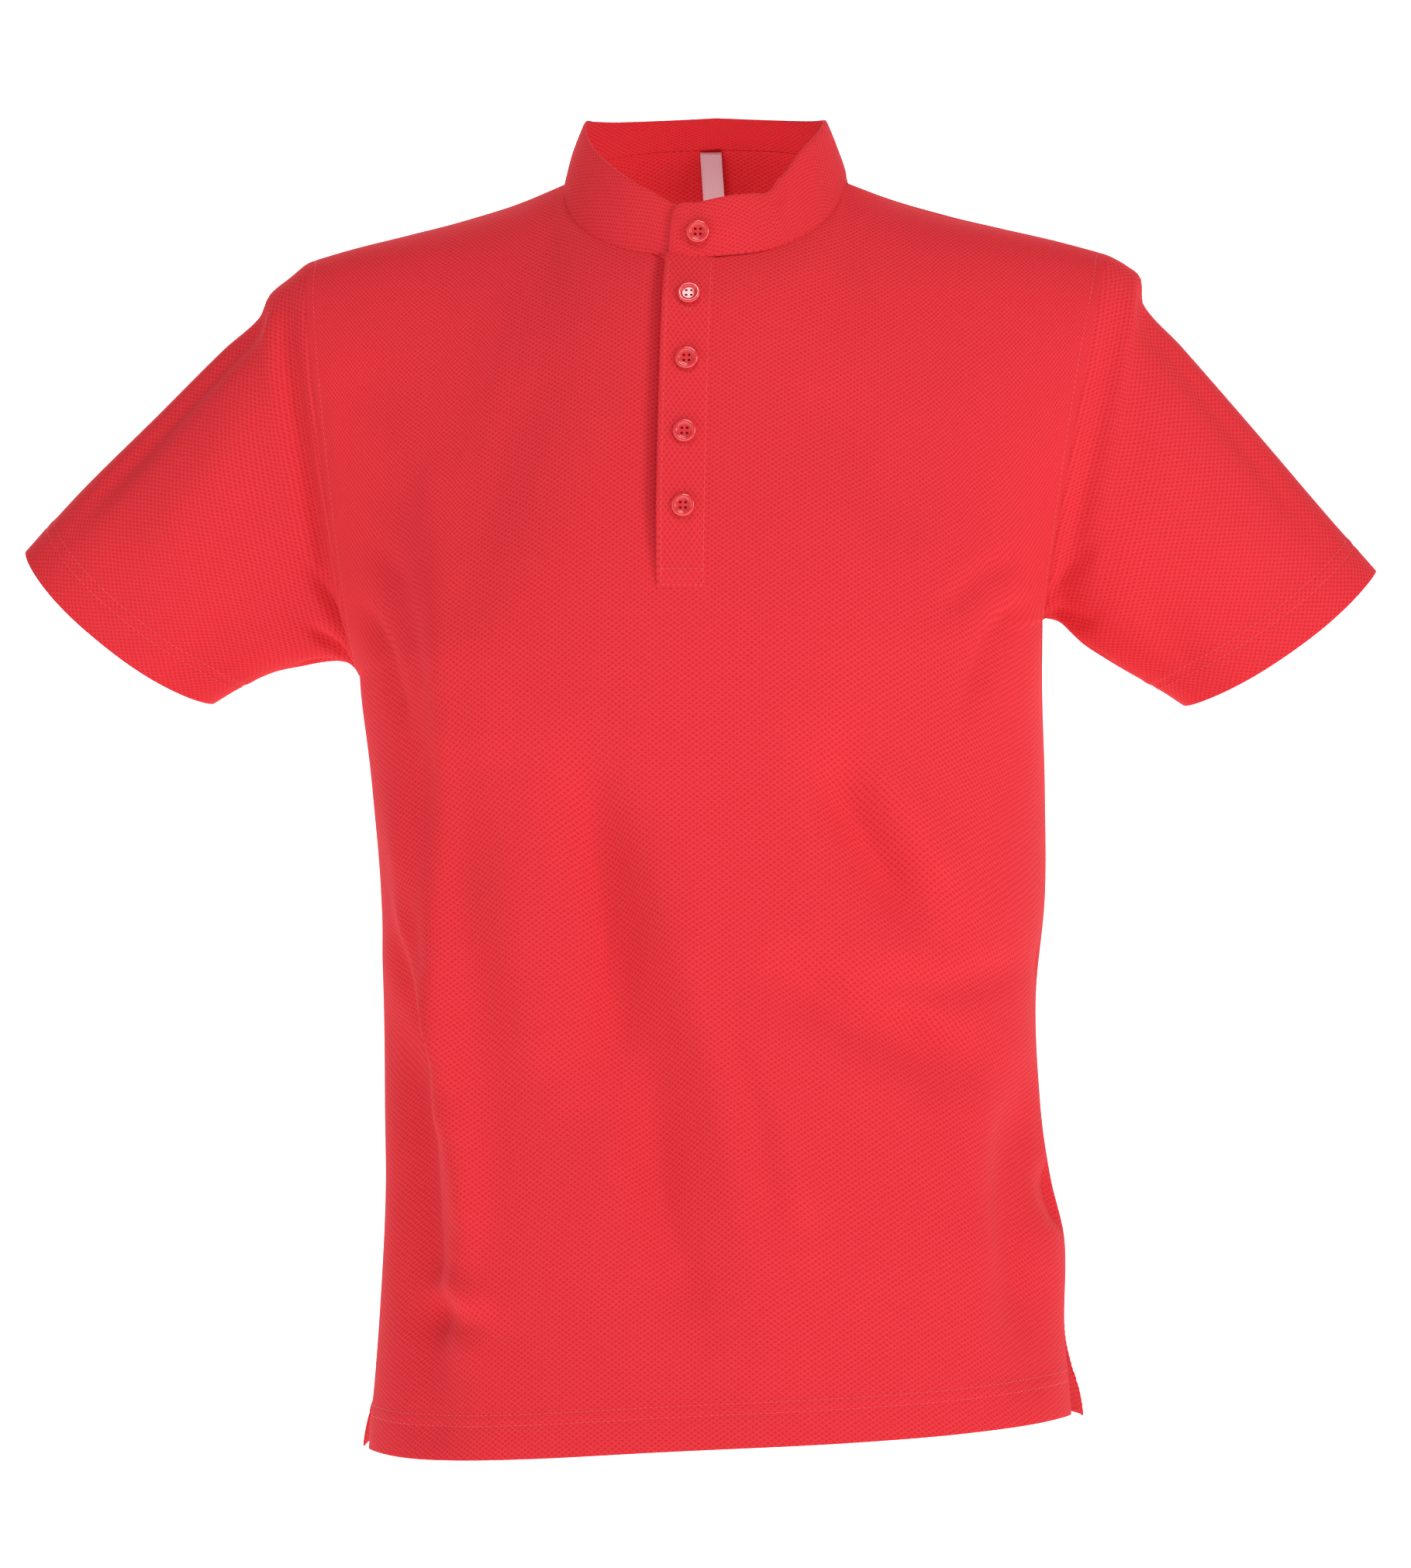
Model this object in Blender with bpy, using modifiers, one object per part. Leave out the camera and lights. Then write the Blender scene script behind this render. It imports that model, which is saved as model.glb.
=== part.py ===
"""Polo shirt with a band collar, filled out as worn: cut and sewn cloth walls and five buttons.

Metres, +Z up. The front faces -Y and the wearer's left arm points along +X. The origin lies
between the two points where the shoulder seams meet the neck.
"""
import math
from collections import namedtuple

import bmesh
import bpy
from mathutils import Vector

NAME = "polo_shirt"

# Walls and seams
CLOTH = 0.0012
SEAM_SHIFT = 0.00022
ARMHOLE_GAP = (0.0006, 0.0010)
LAYER_GAP = 0.0007
BAND_WALL = 0.0022
BAND_GAP = 0.0013
PLACKET_WALL = 0.0016
LABEL_WALL = 0.0008

# Grid of each piece
NECK_COLUMNS = 16
SIDE_COLUMNS = 9
LOWER_ROWS = 10
UPPER_ROWS = 15
SLEEVE_COLUMNS = 24
SLEEVE_ROWS = 11
SLEEVE_ROW_SPREAD = 1.25
ARMHOLE_GAP_FADE = 6
BAND_COLUMNS = 48
BAND_ROWS = 3

# Body tube, from the hem up to the armpits: half widths to the wearer's right and left seams,
# depths of the front and the back, and how square the ring is.
Section = namedtuple("Section", "z right left front back power")
SECTIONS = (
    Section(-0.730, 0.1930, 0.2060, 0.118, 0.108, 2.25),
    Section(-0.690, 0.1900, 0.2045, 0.118, 0.108, 2.25),
    Section(-0.645, 0.1865, 0.2010, 0.118, 0.107, 2.28),
    Section(-0.595, 0.1835, 0.2010, 0.118, 0.106, 2.30),
    Section(-0.560, 0.1830, 0.1930, 0.118, 0.105, 2.32),
    Section(-0.520, 0.1840, 0.1870, 0.118, 0.104, 2.34),
    Section(-0.460, 0.1850, 0.1838, 0.120, 0.104, 2.36),
    Section(-0.400, 0.1850, 0.1890, 0.123, 0.106, 2.38),
    Section(-0.340, 0.1890, 0.1885, 0.127, 0.110, 2.40),
    Section(-0.285, 0.1965, 0.1865, 0.130, 0.114, 2.40),
    Section(-0.235, 0.1985, 0.1870, 0.131, 0.117, 2.40),
)

# Armhole and sleeve rings, from the armhole to the cuff: the top and the low point of each ring,
# the ring's reach to the front and the back, its middle, and how far its front is pushed along the sleeve.
Ring = namedtuple("Ring", "at top_x top_z low_x low_z front back middle bow")
RIGHT_ARM = (
    Ring(0.000, -0.2256, -0.0450, -0.1975, -0.2785, 0.048, 0.051, 0.000, 0.000),
    Ring(0.060, -0.2360, -0.0530, -0.2045, -0.2720, 0.047, 0.050, 0.001, 0.000),
    Ring(0.125, -0.2480, -0.0625, -0.2110, -0.2700, 0.047, 0.049, 0.002, 0.001),
    Ring(0.186, -0.2545, -0.0755, -0.2170, -0.2700, 0.047, 0.049, 0.003, 0.002),
    Ring(0.300, -0.2750, -0.0930, -0.2270, -0.2715, 0.046, 0.048, 0.004, 0.003),
    Ring(0.550, -0.3165, -0.1330, -0.2490, -0.2755, 0.043, 0.045, 0.006, 0.005),
    Ring(0.800, -0.3585, -0.1730, -0.2690, -0.2840, 0.041, 0.042, 0.008, 0.006),
    Ring(1.000, -0.3920, -0.2080, -0.2860, -0.2940, 0.040, 0.040, 0.010, 0.0085),
)
LEFT_ARM = (
    Ring(0.000, 0.2238, -0.0425, 0.1885, -0.2440, 0.048, 0.051, 0.000, 0.000),
    Ring(0.060, 0.2345, -0.0490, 0.1975, -0.2470, 0.047, 0.050, 0.001, 0.000),
    Ring(0.110, 0.2415, -0.0555, 0.2045, -0.2535, 0.047, 0.049, 0.002, 0.001),
    Ring(0.160, 0.2430, -0.0700, 0.2105, -0.2590, 0.047, 0.049, 0.003, 0.002),
    Ring(0.300, 0.2645, -0.0935, 0.2230, -0.2670, 0.046, 0.048, 0.004, 0.003),
    Ring(0.550, 0.3045, -0.1390, 0.2400, -0.2770, 0.043, 0.045, 0.006, 0.005),
    Ring(0.800, 0.3430, -0.1840, 0.2550, -0.2850, 0.041, 0.042, 0.008, 0.006),
    Ring(1.000, 0.3730, -0.2185, 0.2675, -0.2930, 0.040, 0.040, 0.010, 0.009),
)
ARM_POWER = 2.25

# Shoulder seams: drop below the neck point along the way to the shoulder tip.
Drop = namedtuple("Drop", "along z")
SHOULDER_DROPS = (
    Drop(0.00, 0.0000),
    Drop(0.20, -0.0120),
    Drop(0.40, -0.0207),
    Drop(0.60, -0.0275),
    Drop(0.80, -0.0343),
    Drop(1.00, -0.0425),
)
NECK_SHARE = 0.40
SHOULDER_FORWARD = -0.010
SEAM_RISE = 0.26
YOKE_SPREAD = 0.07

# Neck ring under the collar band and the band's upper ring: half widths to the wearer's right and
# left, and the places of the front, the sides and the back. The band's upper edge has a curve of its
# own on each side of the front, where it laps over.
Loop = namedtuple("Loop", "right left front_y side_y back_y power rise")
Rise = namedtuple("Rise", "turn z")
NECK_RISE = (
    Rise(0.0, -0.0450),
    Rise(30.0, -0.0400),
    Rise(60.0, -0.0240),
    Rise(90.0, -0.0010),
    Rise(120.0, 0.0125),
    Rise(150.0, 0.0200),
    Rise(180.0, 0.0225),
)
BAND_RISE_RIGHT = (
    Rise(0.0, -0.0185),
    Rise(9.5, -0.0160),
    Rise(20.5, -0.0094),
    Rise(29.5, -0.0041),
    Rise(56.0, 0.0132),
    Rise(90.0, 0.0338),
    Rise(105.0, 0.0350),
    Rise(125.0, 0.0355),
    Rise(150.0, 0.0368),
    Rise(180.0, 0.0385),
)
BAND_RISE_LEFT = (
    Rise(0.0, -0.0150),
    Rise(15.0, -0.0110),
    Rise(26.0, -0.0096),
    Rise(34.0, -0.0088),
    Rise(42.0, 0.0008),
    Rise(57.0, 0.0165),
    Rise(75.0, 0.0275),
    Rise(90.0, 0.0338),
    Rise(105.0, 0.0350),
    Rise(125.0, 0.0355),
    Rise(150.0, 0.0368),
    Rise(180.0, 0.0385),
)
NECK_LOOP = Loop(0.0800, 0.0765, -0.0760, -0.0070, 0.0660, 2.15, NECK_RISE)
BAND_TOP = Loop(0.0690, 0.0650, -0.0705, -0.0020, 0.0420, 2.10, BAND_RISE_RIGHT)
BAND_TURNS = (11.0, -371.0)
BAND_LIFT = 0.0028
BAND_LIFT_START = 18.0
BAND_LIFT_TURN = 55.0
BAND_BELLY = 0.0010
BAND_EVEN_COLUMNS = 0.86
BAND_EVEN_SHARE = 0.955
TAB_CORNER = 0.0075
TAB_LOW_CORNER = 0.0030

# Hems, from the wearer's right seam to the left one.
Hem = namedtuple("Hem", "across z")
FRONT_HEM = (
    Hem(-1.0, -0.7180),
    Hem(-0.8, -0.7145),
    Hem(-0.5, -0.7110),
    Hem(0.0, -0.6980),
    Hem(0.5, -0.6915),
    Hem(0.8, -0.6910),
    Hem(1.0, -0.6930),
)
BACK_HEM = (
    Hem(-1.0, -0.7190),
    Hem(-0.5, -0.7080),
    Hem(0.0, -0.7040),
    Hem(0.5, -0.6990),
    Hem(1.0, -0.6950),
)
VENT = 0.049
VENT_FRONT_OPENING = 0.0030
VENT_BACK_OPENING = 0.0065

# Main folds of the front and the back, as soft troughs and ridges along a line of three points.
Fold = namedtuple("Fold", "x0 z0 x1 z1 x2 z2 width height")
FRONT_FOLDS = (
    Fold(-0.066, -0.285, -0.037, -0.425, -0.006, -0.600, 0.022, -0.0045),
    Fold(-0.030, -0.350, 0.014, -0.460, 0.052, -0.640, 0.018, 0.0030),
    Fold(0.074, -0.290, 0.100, -0.370, 0.132, -0.415, 0.017, -0.0035),
    Fold(0.034, -0.420, 0.092, -0.462, 0.165, -0.495, 0.016, -0.0035),
    Fold(-0.178, -0.300, -0.140, -0.430, -0.128, -0.640, 0.016, 0.0045),
    Fold(-0.176, -0.430, -0.158, -0.540, -0.146, -0.690, 0.015, -0.0060),
    Fold(0.182, -0.480, 0.176, -0.560, 0.184, -0.660, 0.014, -0.0050),
    Fold(-0.195, -0.110, -0.150, -0.170, -0.138, -0.300, 0.018, 0.0030),
)
BACK_FOLDS = (
    Fold(-0.060, -0.230, -0.070, -0.420, -0.040, -0.640, 0.022, -0.0045),
    Fold(0.050, -0.260, 0.062, -0.420, 0.040, -0.600, 0.024, -0.0040),
    Fold(0.000, -0.380, -0.006, -0.500, 0.012, -0.680, 0.020, 0.0030),
    Fold(0.165, -0.330, 0.130, -0.470, 0.140, -0.660, 0.018, -0.0045),
    Fold(-0.160, -0.360, -0.135, -0.480, -0.140, -0.680, 0.018, -0.0040),
)
FOLD_EDGE = 0.90

# Placket: a strip over a slit in the front, with a second strip behind it.
PLACKET_MIDDLE = -0.003
PLACKET_WIDTH = 0.0272
PLACKET_LOW = -0.2255
SLIT_HALF_WIDTH = 0.0105
SLIT_LOW = -0.2205
UNDER_HALF_WIDTH = 0.0134
PLACKET_PROUD = 0.0028
PLACKET_DROP = 0.0014
PLACKET_COLUMNS = 4
PLACKET_ROWS = 14

# Buttons: a turned disc with a raised rim and four holes.
BUTTON_RADIUS = 0.0063
BUTTON_THICKNESS = 0.0026
BUTTON_RIM = 0.0013
BUTTON_DISH = 0.0007
BUTTON_FOOT = 0.0020
BUTTON_FOOT_RISE = 0.0004
HOLE_RADIUS = 0.0008
HOLE_PITCH = 0.0029
BUTTON_STEPS = 20
BUTTON_HEIGHTS = (-0.0670, -0.1020, -0.1415, -0.1815)
BUTTON_X = -0.0020
BUTTON_CLEARANCE = 0.0006
BUTTON_LIFT_SHARE = 0.25
BAND_BUTTON_TURN = -360.0 + 1.0
BAND_BUTTON_UP = 0.45

# Label in the back of the neck
LABEL_X = -0.0055
LABEL_WIDTH = 0.0123
LABEL_LENGTH = 0.046
LABEL_DROP = 0.0022
LABEL_CLEARANCE = 0.0012
LABEL_SLOPE = 0.20

# Colours, linear
CLOTH_RED = (0.72, 0.030, 0.045, 1.0)
BUTTON_RED = (0.62, 0.025, 0.035, 1.0)
LABEL_WHITE = (0.66, 0.50, 0.56, 1.0)


def clear_scene():
    for obj in list(bpy.data.objects):
        bpy.data.objects.remove(obj, do_unlink=True)


def collection(name):
    made = bpy.data.collections.new(name)
    bpy.context.scene.collection.children.link(made)
    return made


def material(name, colour, roughness):
    made = bpy.data.materials.new(name)
    made.use_nodes = True
    shader = made.node_tree.nodes["Principled BSDF"]
    shader.inputs["Base Color"].default_value = colour
    shader.inputs["Roughness"].default_value = roughness
    return made


def blend(start, end, share):
    return start + (end - start) * share


def ease(value, low, high):
    """0 below low, 1 above high and a soft step between them."""
    share = min(max((value - low) / (high - low), 0.0), 1.0)
    return share * share * (3.0 - 2.0 * share)


def read(table, place, name):
    """The named column of a table at a place of its first column, along a smooth curve."""
    places = [row[0] for row in table]
    values = [getattr(row, name) for row in table]
    place = min(max(place, places[0]), places[-1])
    last = len(table) - 1
    low = max(index for index in range(last) if places[index] <= place)

    def slope(index):
        before, after = max(index - 1, 0), min(index + 1, last)
        return (values[after] - values[before]) / (places[after] - places[before])

    step = places[low + 1] - places[low]
    t = (place - places[low]) / step
    rise = values[low + 1] - values[low]
    a = slope(low) * step - rise
    b = rise - slope(low + 1) * step
    return values[low] + t * rise + t * (1.0 - t) * (a * (1.0 - t) + b * t)


def squircle(angle, power):
    """Sine and cosine of an angle, pushed out onto a ring with fuller corners."""
    sine, cosine = math.sin(angle), math.cos(angle)
    size = (abs(sine) ** power + abs(cosine) ** power) ** (1.0 / power)
    return sine / size, cosine / size


def loop_point(loop, turn):
    """A point of a neck ring: turn 0 is the front, 90 the wearer's left and 180 the back."""
    angle = math.radians(turn)
    across, ahead = squircle(angle, loop.power)
    half = blend(loop.right, loop.left, (across + 1.0) / 2.0)
    mean, swing = (loop.front_y + loop.back_y) / 2.0, (loop.front_y - loop.back_y) / 2.0
    y = loop.side_y + swing * ahead + (mean - loop.side_y) * ahead * ahead
    folded = abs((turn + 180.0) % 360.0 - 180.0)
    return Vector((half * across, y, read(loop.rise, folded, "z")))


def arm_point(table, at, angle):
    """A point of a sleeve: angle 0 is under the arm, a quarter turn the front and a half the top."""
    value = {name: read(table, at, name) for name in Ring._fields[1:]}
    across, ahead = squircle(angle, ARM_POWER)
    top = Vector((value["top_x"], 0.0, value["top_z"]))
    low = Vector((value["low_x"], 0.0, value["low_z"]))
    half = (top - low) / 2.0
    side = 1.0 if top.x > 0.0 else -1.0
    outward = Vector((-half.z * -side, 0.0, -half.x * side)).normalized()
    reach = value["front"] if across > 0.0 else value["back"]
    forward = blend(0.0, SHOULDER_FORWARD, (1.0 - ahead) / 2.0) * (1.0 - at)
    point = (top + low) / 2.0 - half * ahead + outward * value["bow"] * across * abs(across)
    point.y = value["middle"] + forward - reach * across
    return point


def column(u):
    """The place across a panel, -1 to 1, of a share of its grid's columns."""
    shift, neck = 2.0 * u - 1.0, NECK_COLUMNS / (NECK_COLUMNS + 2.0 * SIDE_COLUMNS)
    if abs(shift) <= neck:
        return shift / neck * NECK_SHARE
    return math.copysign(blend(NECK_SHARE, 1.0, (abs(shift) - neck) / (1.0 - neck)), shift)


def row(v):
    """The height on a panel, 0 to 2, of a share of its grid's rows."""
    lower = LOWER_ROWS / (LOWER_ROWS + UPPER_ROWS)
    return v / lower if v <= lower else 1.0 + (v - lower) / (1.0 - lower)


def neck_point(side, s):
    """The neckline of the front (side -1) or the back (side 1), from neck point to neck point."""
    turn = 90.0 * s / NECK_SHARE
    return loop_point(NECK_LOOP, turn if side < 0 else 180.0 - turn)


def top_edge(side, s):
    """The upper edge of a panel: shoulder seam, neckline and shoulder seam."""
    if abs(s) <= NECK_SHARE:
        return neck_point(side, s)
    table = LEFT_ARM if s > 0.0 else RIGHT_ARM
    neck = neck_point(-1, math.copysign(NECK_SHARE, s))
    tip = arm_point(table, 0.0, math.pi)
    along = (abs(s) - NECK_SHARE) / (1.0 - NECK_SHARE)
    point = neck.lerp(tip, along)
    drop = read(SHOULDER_DROPS, along, "z")
    whole = SHOULDER_DROPS[-1].z
    point.z = blend(neck.z, tip.z, drop / whole)
    return point


def top_heading(side, s):
    """The way a panel runs as it reaches its upper edge."""
    neck = Vector((0.0, -side * 0.80, 0.60 if side < 0 else 0.45))
    shoulder = Vector((0.0, -side * 1.0, -side * SEAM_RISE))
    return neck.lerp(shoulder, ease(abs(s), 0.12, 0.62)).normalized()


def ring_point(side, s, z):
    """The body tube at a height: s runs from -1 at the wearer's right seam to 1 at the left one."""
    across, ahead = squircle(math.pi / 2.0 * s, read(SECTIONS, z, "power"))
    half = blend(read(SECTIONS, z, "right"), read(SECTIONS, z, "left"), (s + 1.0) / 2.0)
    depth = read(SECTIONS, z, "front" if side < 0 else "back")
    return Vector((half * across, side * depth * ahead, z))


def armpit_z(s):
    return blend(RIGHT_ARM[0].low_z, LEFT_ARM[0].low_z, (s + 1.0) / 2.0)


def yoke_point(side, s, t):
    """A point on the curve that climbs from the armpit ring to the upper edge as t runs from 0 to 1."""
    low, high = ring_point(side, s, armpit_z(s)), top_edge(side, s)
    rise = high.z - low.z
    leave = Vector(((high.x - low.x) * 0.6, 0.0, rise * 1.15))
    fuller = 1.2 + 0.5 * ease(abs(s), 0.3, 0.5) * (1.0 - ease(abs(s), 0.6, 1.0))
    arrive = top_heading(side, s) * (abs(high.y - low.y) * fuller + rise * 0.15)
    return (low * (2 * t ** 3 - 3 * t ** 2 + 1) + leave * (t ** 3 - 2 * t ** 2 + t)
            + high * (3 * t ** 2 - 2 * t ** 3) + arrive * (t ** 3 - t ** 2))


def plain_torso(side, s, v):
    """A panel without folds: v runs from 0 at the hem over 1 at the armpits to 2 at the top."""
    if v <= 1.0:
        hem = read(FRONT_HEM if side < 0 else BACK_HEM, s, "z")
        point = ring_point(side, s, blend(hem, armpit_z(s), v))
        opening = 1.0 - ease(point.z, hem, hem + VENT)
        edge = ease(abs(s), 0.75, 1.0)
        if side < 0:
            point.y -= VENT_FRONT_OPENING * opening * edge
        else:
            point.x += math.copysign(VENT_BACK_OPENING, s) * opening * edge
            point.y += VENT_BACK_OPENING * 0.5 * opening * edge
        return point
    reach = YOKE_SPREAD * ease(v, 1.0, 1.4) * (1.0 - ease(v, 1.50, 2.0))
    taps = ((-2.0, 0.125), (-1.0, 0.225), (0.0, 0.3), (1.0, 0.225), (2.0, 0.125))
    point = Vector()
    for shift, share in taps:
        point += yoke_point(side, min(max(s + shift * reach, -1.0), 1.0), v - 1.0) * share
    return point


def torso(side, s, v):
    """A panel with its armholes, before the folds."""
    point = plain_torso(side, s, v)
    if v > 1.0 and s != 0.0:
        edge_s = math.copysign(1.0, s)
        table = LEFT_ARM if s > 0.0 else RIGHT_ARM
        armhole = arm_point(table, 0.0, -side * math.pi * (v - 1.0) ** 0.92)
        share = ease(abs(s), 0.45, 1.0)
        point += (armhole - plain_torso(side, edge_s, v)) * share
    point.y += side * SEAM_SHIFT
    return point


def fold_height(folds, point):
    """How far the folds lift the cloth at a point seen from the front."""
    total = 0.0
    for fold in folds:
        best = None
        for ax, az, bx, bz, start in ((fold.x0, fold.z0, fold.x1, fold.z1, 0.0),
                                      (fold.x1, fold.z1, fold.x2, fold.z2, 0.5)):
            dx, dz = bx - ax, bz - az
            t = ((point.x - ax) * dx + (point.z - az) * dz) / (dx * dx + dz * dz)
            t = min(max(t, 0.0), 1.0)
            gap = math.hypot(point.x - ax - t * dx, point.z - az - t * dz)
            if best is None or gap < best[0]:
                best = (gap, start + t * 0.5)
        gap, along = best
        ends = ease(along, 0.0, 0.35) * (1.0 - ease(along, 0.75, 1.0) * 0.7)
        total += fold.height * ends * math.exp(-(gap / fold.width) ** 2)
    return total


def surface(side, s, v):
    """The middle of a panel's wall, folds and all."""
    point = torso(side, s, v)
    step = 0.01
    along = torso(side, min(s + step, 1.0), v) - torso(side, max(s - step, -1.0), v)
    up = torso(side, s, min(v + step, 2.0)) - torso(side, s, max(v - step, 0.0))
    outward = up.cross(along).normalized() * side
    folds = FRONT_FOLDS if side < 0 else BACK_FOLDS
    calm = (1.0 - ease(abs(s), FOLD_EDGE - 0.1, 1.0)) * (1.0 - ease(v, 1.7, 1.95))
    return point + outward * (fold_height(folds, point) * calm), outward


def panel_at(side, x, z):
    """The point and the outward way of a panel's wall at a given x and z."""
    s, v = x / 0.19, 1.3
    for _ in range(60):
        point, outward = surface(side, s, v)
        s += (x - point.x) / 0.19 * 0.8
        v = min(max(v + (z - point.z) / (0.42 if v < 1.0 else 0.26) * 0.8, 0.0), 2.0)
    return point, outward


def grid_object(name, columns, rows, place, mat, home):
    """An open surface: place(u, v) gives each point of a grid of columns and rows."""
    mesh = bpy.data.meshes.new(name)
    bm = bmesh.new()
    bmesh.ops.create_grid(bm, x_segments=columns, y_segments=rows, size=0.5)
    for vert in bm.verts:
        vert.co = place(vert.co.x + 0.5, vert.co.y + 0.5)
    bmesh.ops.remove_doubles(bm, verts=bm.verts, dist=1e-6)
    bmesh.ops.recalc_face_normals(bm, faces=bm.faces)
    bm.to_mesh(mesh)
    bm.free()
    mesh.shade_smooth()
    mesh.materials.append(mat)
    obj = bpy.data.objects.new(name, mesh)
    home.objects.link(obj)
    return obj


def thicken(obj, thickness):
    wall = obj.modifiers.new("wall", "SOLIDIFY")
    wall.thickness = thickness
    wall.offset = 0.0
    wall.use_even_offset = True
    wall.use_quality_normals = True
    return obj


def cut(obj, cutter):
    bite = obj.modifiers.new("cut", "BOOLEAN")
    bite.operation = "DIFFERENCE"
    bite.solver = "EXACT"
    bite.object = cutter
    cutter.hide_render = True
    cutter.display_type = "WIRE"


def box_cutter(name, low, high, home):
    bpy.ops.mesh.primitive_cube_add(size=1.0)
    box = bpy.context.object
    box.name = name
    for old in list(box.users_collection):
        old.objects.unlink(box)
    home.objects.link(box)
    low, high = Vector(low), Vector(high)
    box.location = (low + high) / 2.0
    box.scale = high - low
    return box


def build_panels(mat, home, cutters):
    for name, side in (("front_panel", -1), ("back_panel", 1)):
        def place(u, v, side=side):
            return surface(side, column(u), row(v))[0]
        panel = grid_object(name, NECK_COLUMNS + 2 * SIDE_COLUMNS, LOWER_ROWS + UPPER_ROWS,
                            place, mat, home)
        thicken(panel, CLOTH)
        if side < 0:
            slit = box_cutter("slit_cutter",
                              (PLACKET_MIDDLE - SLIT_HALF_WIDTH, -0.30, SLIT_LOW),
                              (PLACKET_MIDDLE + SLIT_HALF_WIDTH, -0.02, 0.10), cutters)
            cut(panel, slit)


def build_sleeves(mat, home):
    for name, table in (("sleeve_right", RIGHT_ARM), ("sleeve_left", LEFT_ARM)):
        def place(u, v, table=table):
            angle = 2.0 * math.pi * u
            start, ahead = arm_point(table, 0.0, angle), arm_point(table, 0.06, angle)
            clear = blend(ARMHOLE_GAP[0], ARMHOLE_GAP[1], (1.0 + math.cos(angle)) / 2.0)
            offset = (ahead - start).normalized() * clear * (1.0 - v) ** ARMHOLE_GAP_FADE
            return arm_point(table, v ** SLEEVE_ROW_SPREAD, angle) + offset
        thicken(grid_object(name, SLEEVE_COLUMNS, SLEEVE_ROWS, place, mat, home), CLOTH)


def band_edge(turn):
    """The band's upper edge: turn falls from the hidden end, wearer's right first, to the shown end."""
    point = loop_point(BAND_TOP, turn)
    if turn > -180.0:
        point.z = read(BAND_RISE_RIGHT, -turn, "z")
    else:
        point.z = read(BAND_RISE_LEFT, turn + 360.0, "z")
    return point


def band_point(turn, up):
    """The collar band's middle: turn falls from the hidden end round the neck to the shown end."""
    low, high = loop_point(NECK_LOOP, turn), band_edge(turn)
    tall = (high - low).length
    shown = (turn - BAND_TURNS[1]) * math.radians(1.0) * abs(NECK_LOOP.front_y)
    left = BAND_GAP
    right = tall
    if shown < TAB_CORNER:
        right -= TAB_CORNER - math.sqrt(max(TAB_CORNER ** 2 - (TAB_CORNER - shown) ** 2, 0.0))
    if shown < TAB_LOW_CORNER:
        left += TAB_LOW_CORNER - math.sqrt(max(TAB_LOW_CORNER ** 2 - (TAB_LOW_CORNER - shown) ** 2, 0.0))
    point = low.lerp(high, blend(left, right, up) / tall)
    angle = math.radians(turn)
    outward = Vector((math.sin(angle), -math.cos(angle), 0.0))
    lapped = BAND_TURNS[1] + BAND_LIFT_START
    lift = BAND_LIFT * (1.0 - ease(turn, lapped, lapped + BAND_LIFT_TURN))
    belly = BAND_BELLY * math.sin(math.pi * up)
    return point + outward * (lift + belly), outward


def build_band(mat, home):
    def place(u, v):
        share = u / BAND_EVEN_COLUMNS * BAND_EVEN_SHARE
        if u > BAND_EVEN_COLUMNS:
            rest = (u - BAND_EVEN_COLUMNS) / (1.0 - BAND_EVEN_COLUMNS)
            share = blend(BAND_EVEN_SHARE, 1.0, math.sin(math.pi / 2.0 * rest))
        return band_point(blend(BAND_TURNS[0], BAND_TURNS[1], share), v)[0]
    thicken(grid_object("collar_band", BAND_COLUMNS, BAND_ROWS, place, mat, home), BAND_WALL)


def strip_on_front(name, half_width, low_z, out, thickness, proud, mat, home):
    """A strip that follows the front panel at a distance, from the neckline down."""
    def place(u, v):
        x = PLACKET_MIDDLE + half_width * (2.0 * u - 1.0)
        neck_z = loop_point(NECK_LOOP, math.degrees(math.asin(x / NECK_LOOP.left))).z - PLACKET_DROP
        z = blend(low_z, neck_z, v)
        point, outward = panel_at(-1, x, z)
        lifted = proud * (1.0 - u) ** 2 * ease(v, 0.0, 0.25) * (1.0 - ease(v, 0.75, 1.0))
        return point + outward * (out + lifted)
    strip = grid_object(name, PLACKET_COLUMNS, PLACKET_ROWS, place, mat, home)
    thicken(strip, thickness)


def build_placket(mat, home):
    outer = CLOTH / 2.0 + LAYER_GAP + PLACKET_WALL / 2.0
    inner = -(CLOTH / 2.0 + LAYER_GAP + CLOTH / 2.0)
    strip_on_front("placket_upper", PLACKET_WIDTH / 2.0, PLACKET_LOW, outer, PLACKET_WALL,
                   PLACKET_PROUD, mat, home)
    strip_on_front("placket_under", UNDER_HALF_WIDTH, PLACKET_LOW + 0.002, inner, CLOTH, 0.0, mat, home)


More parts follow.
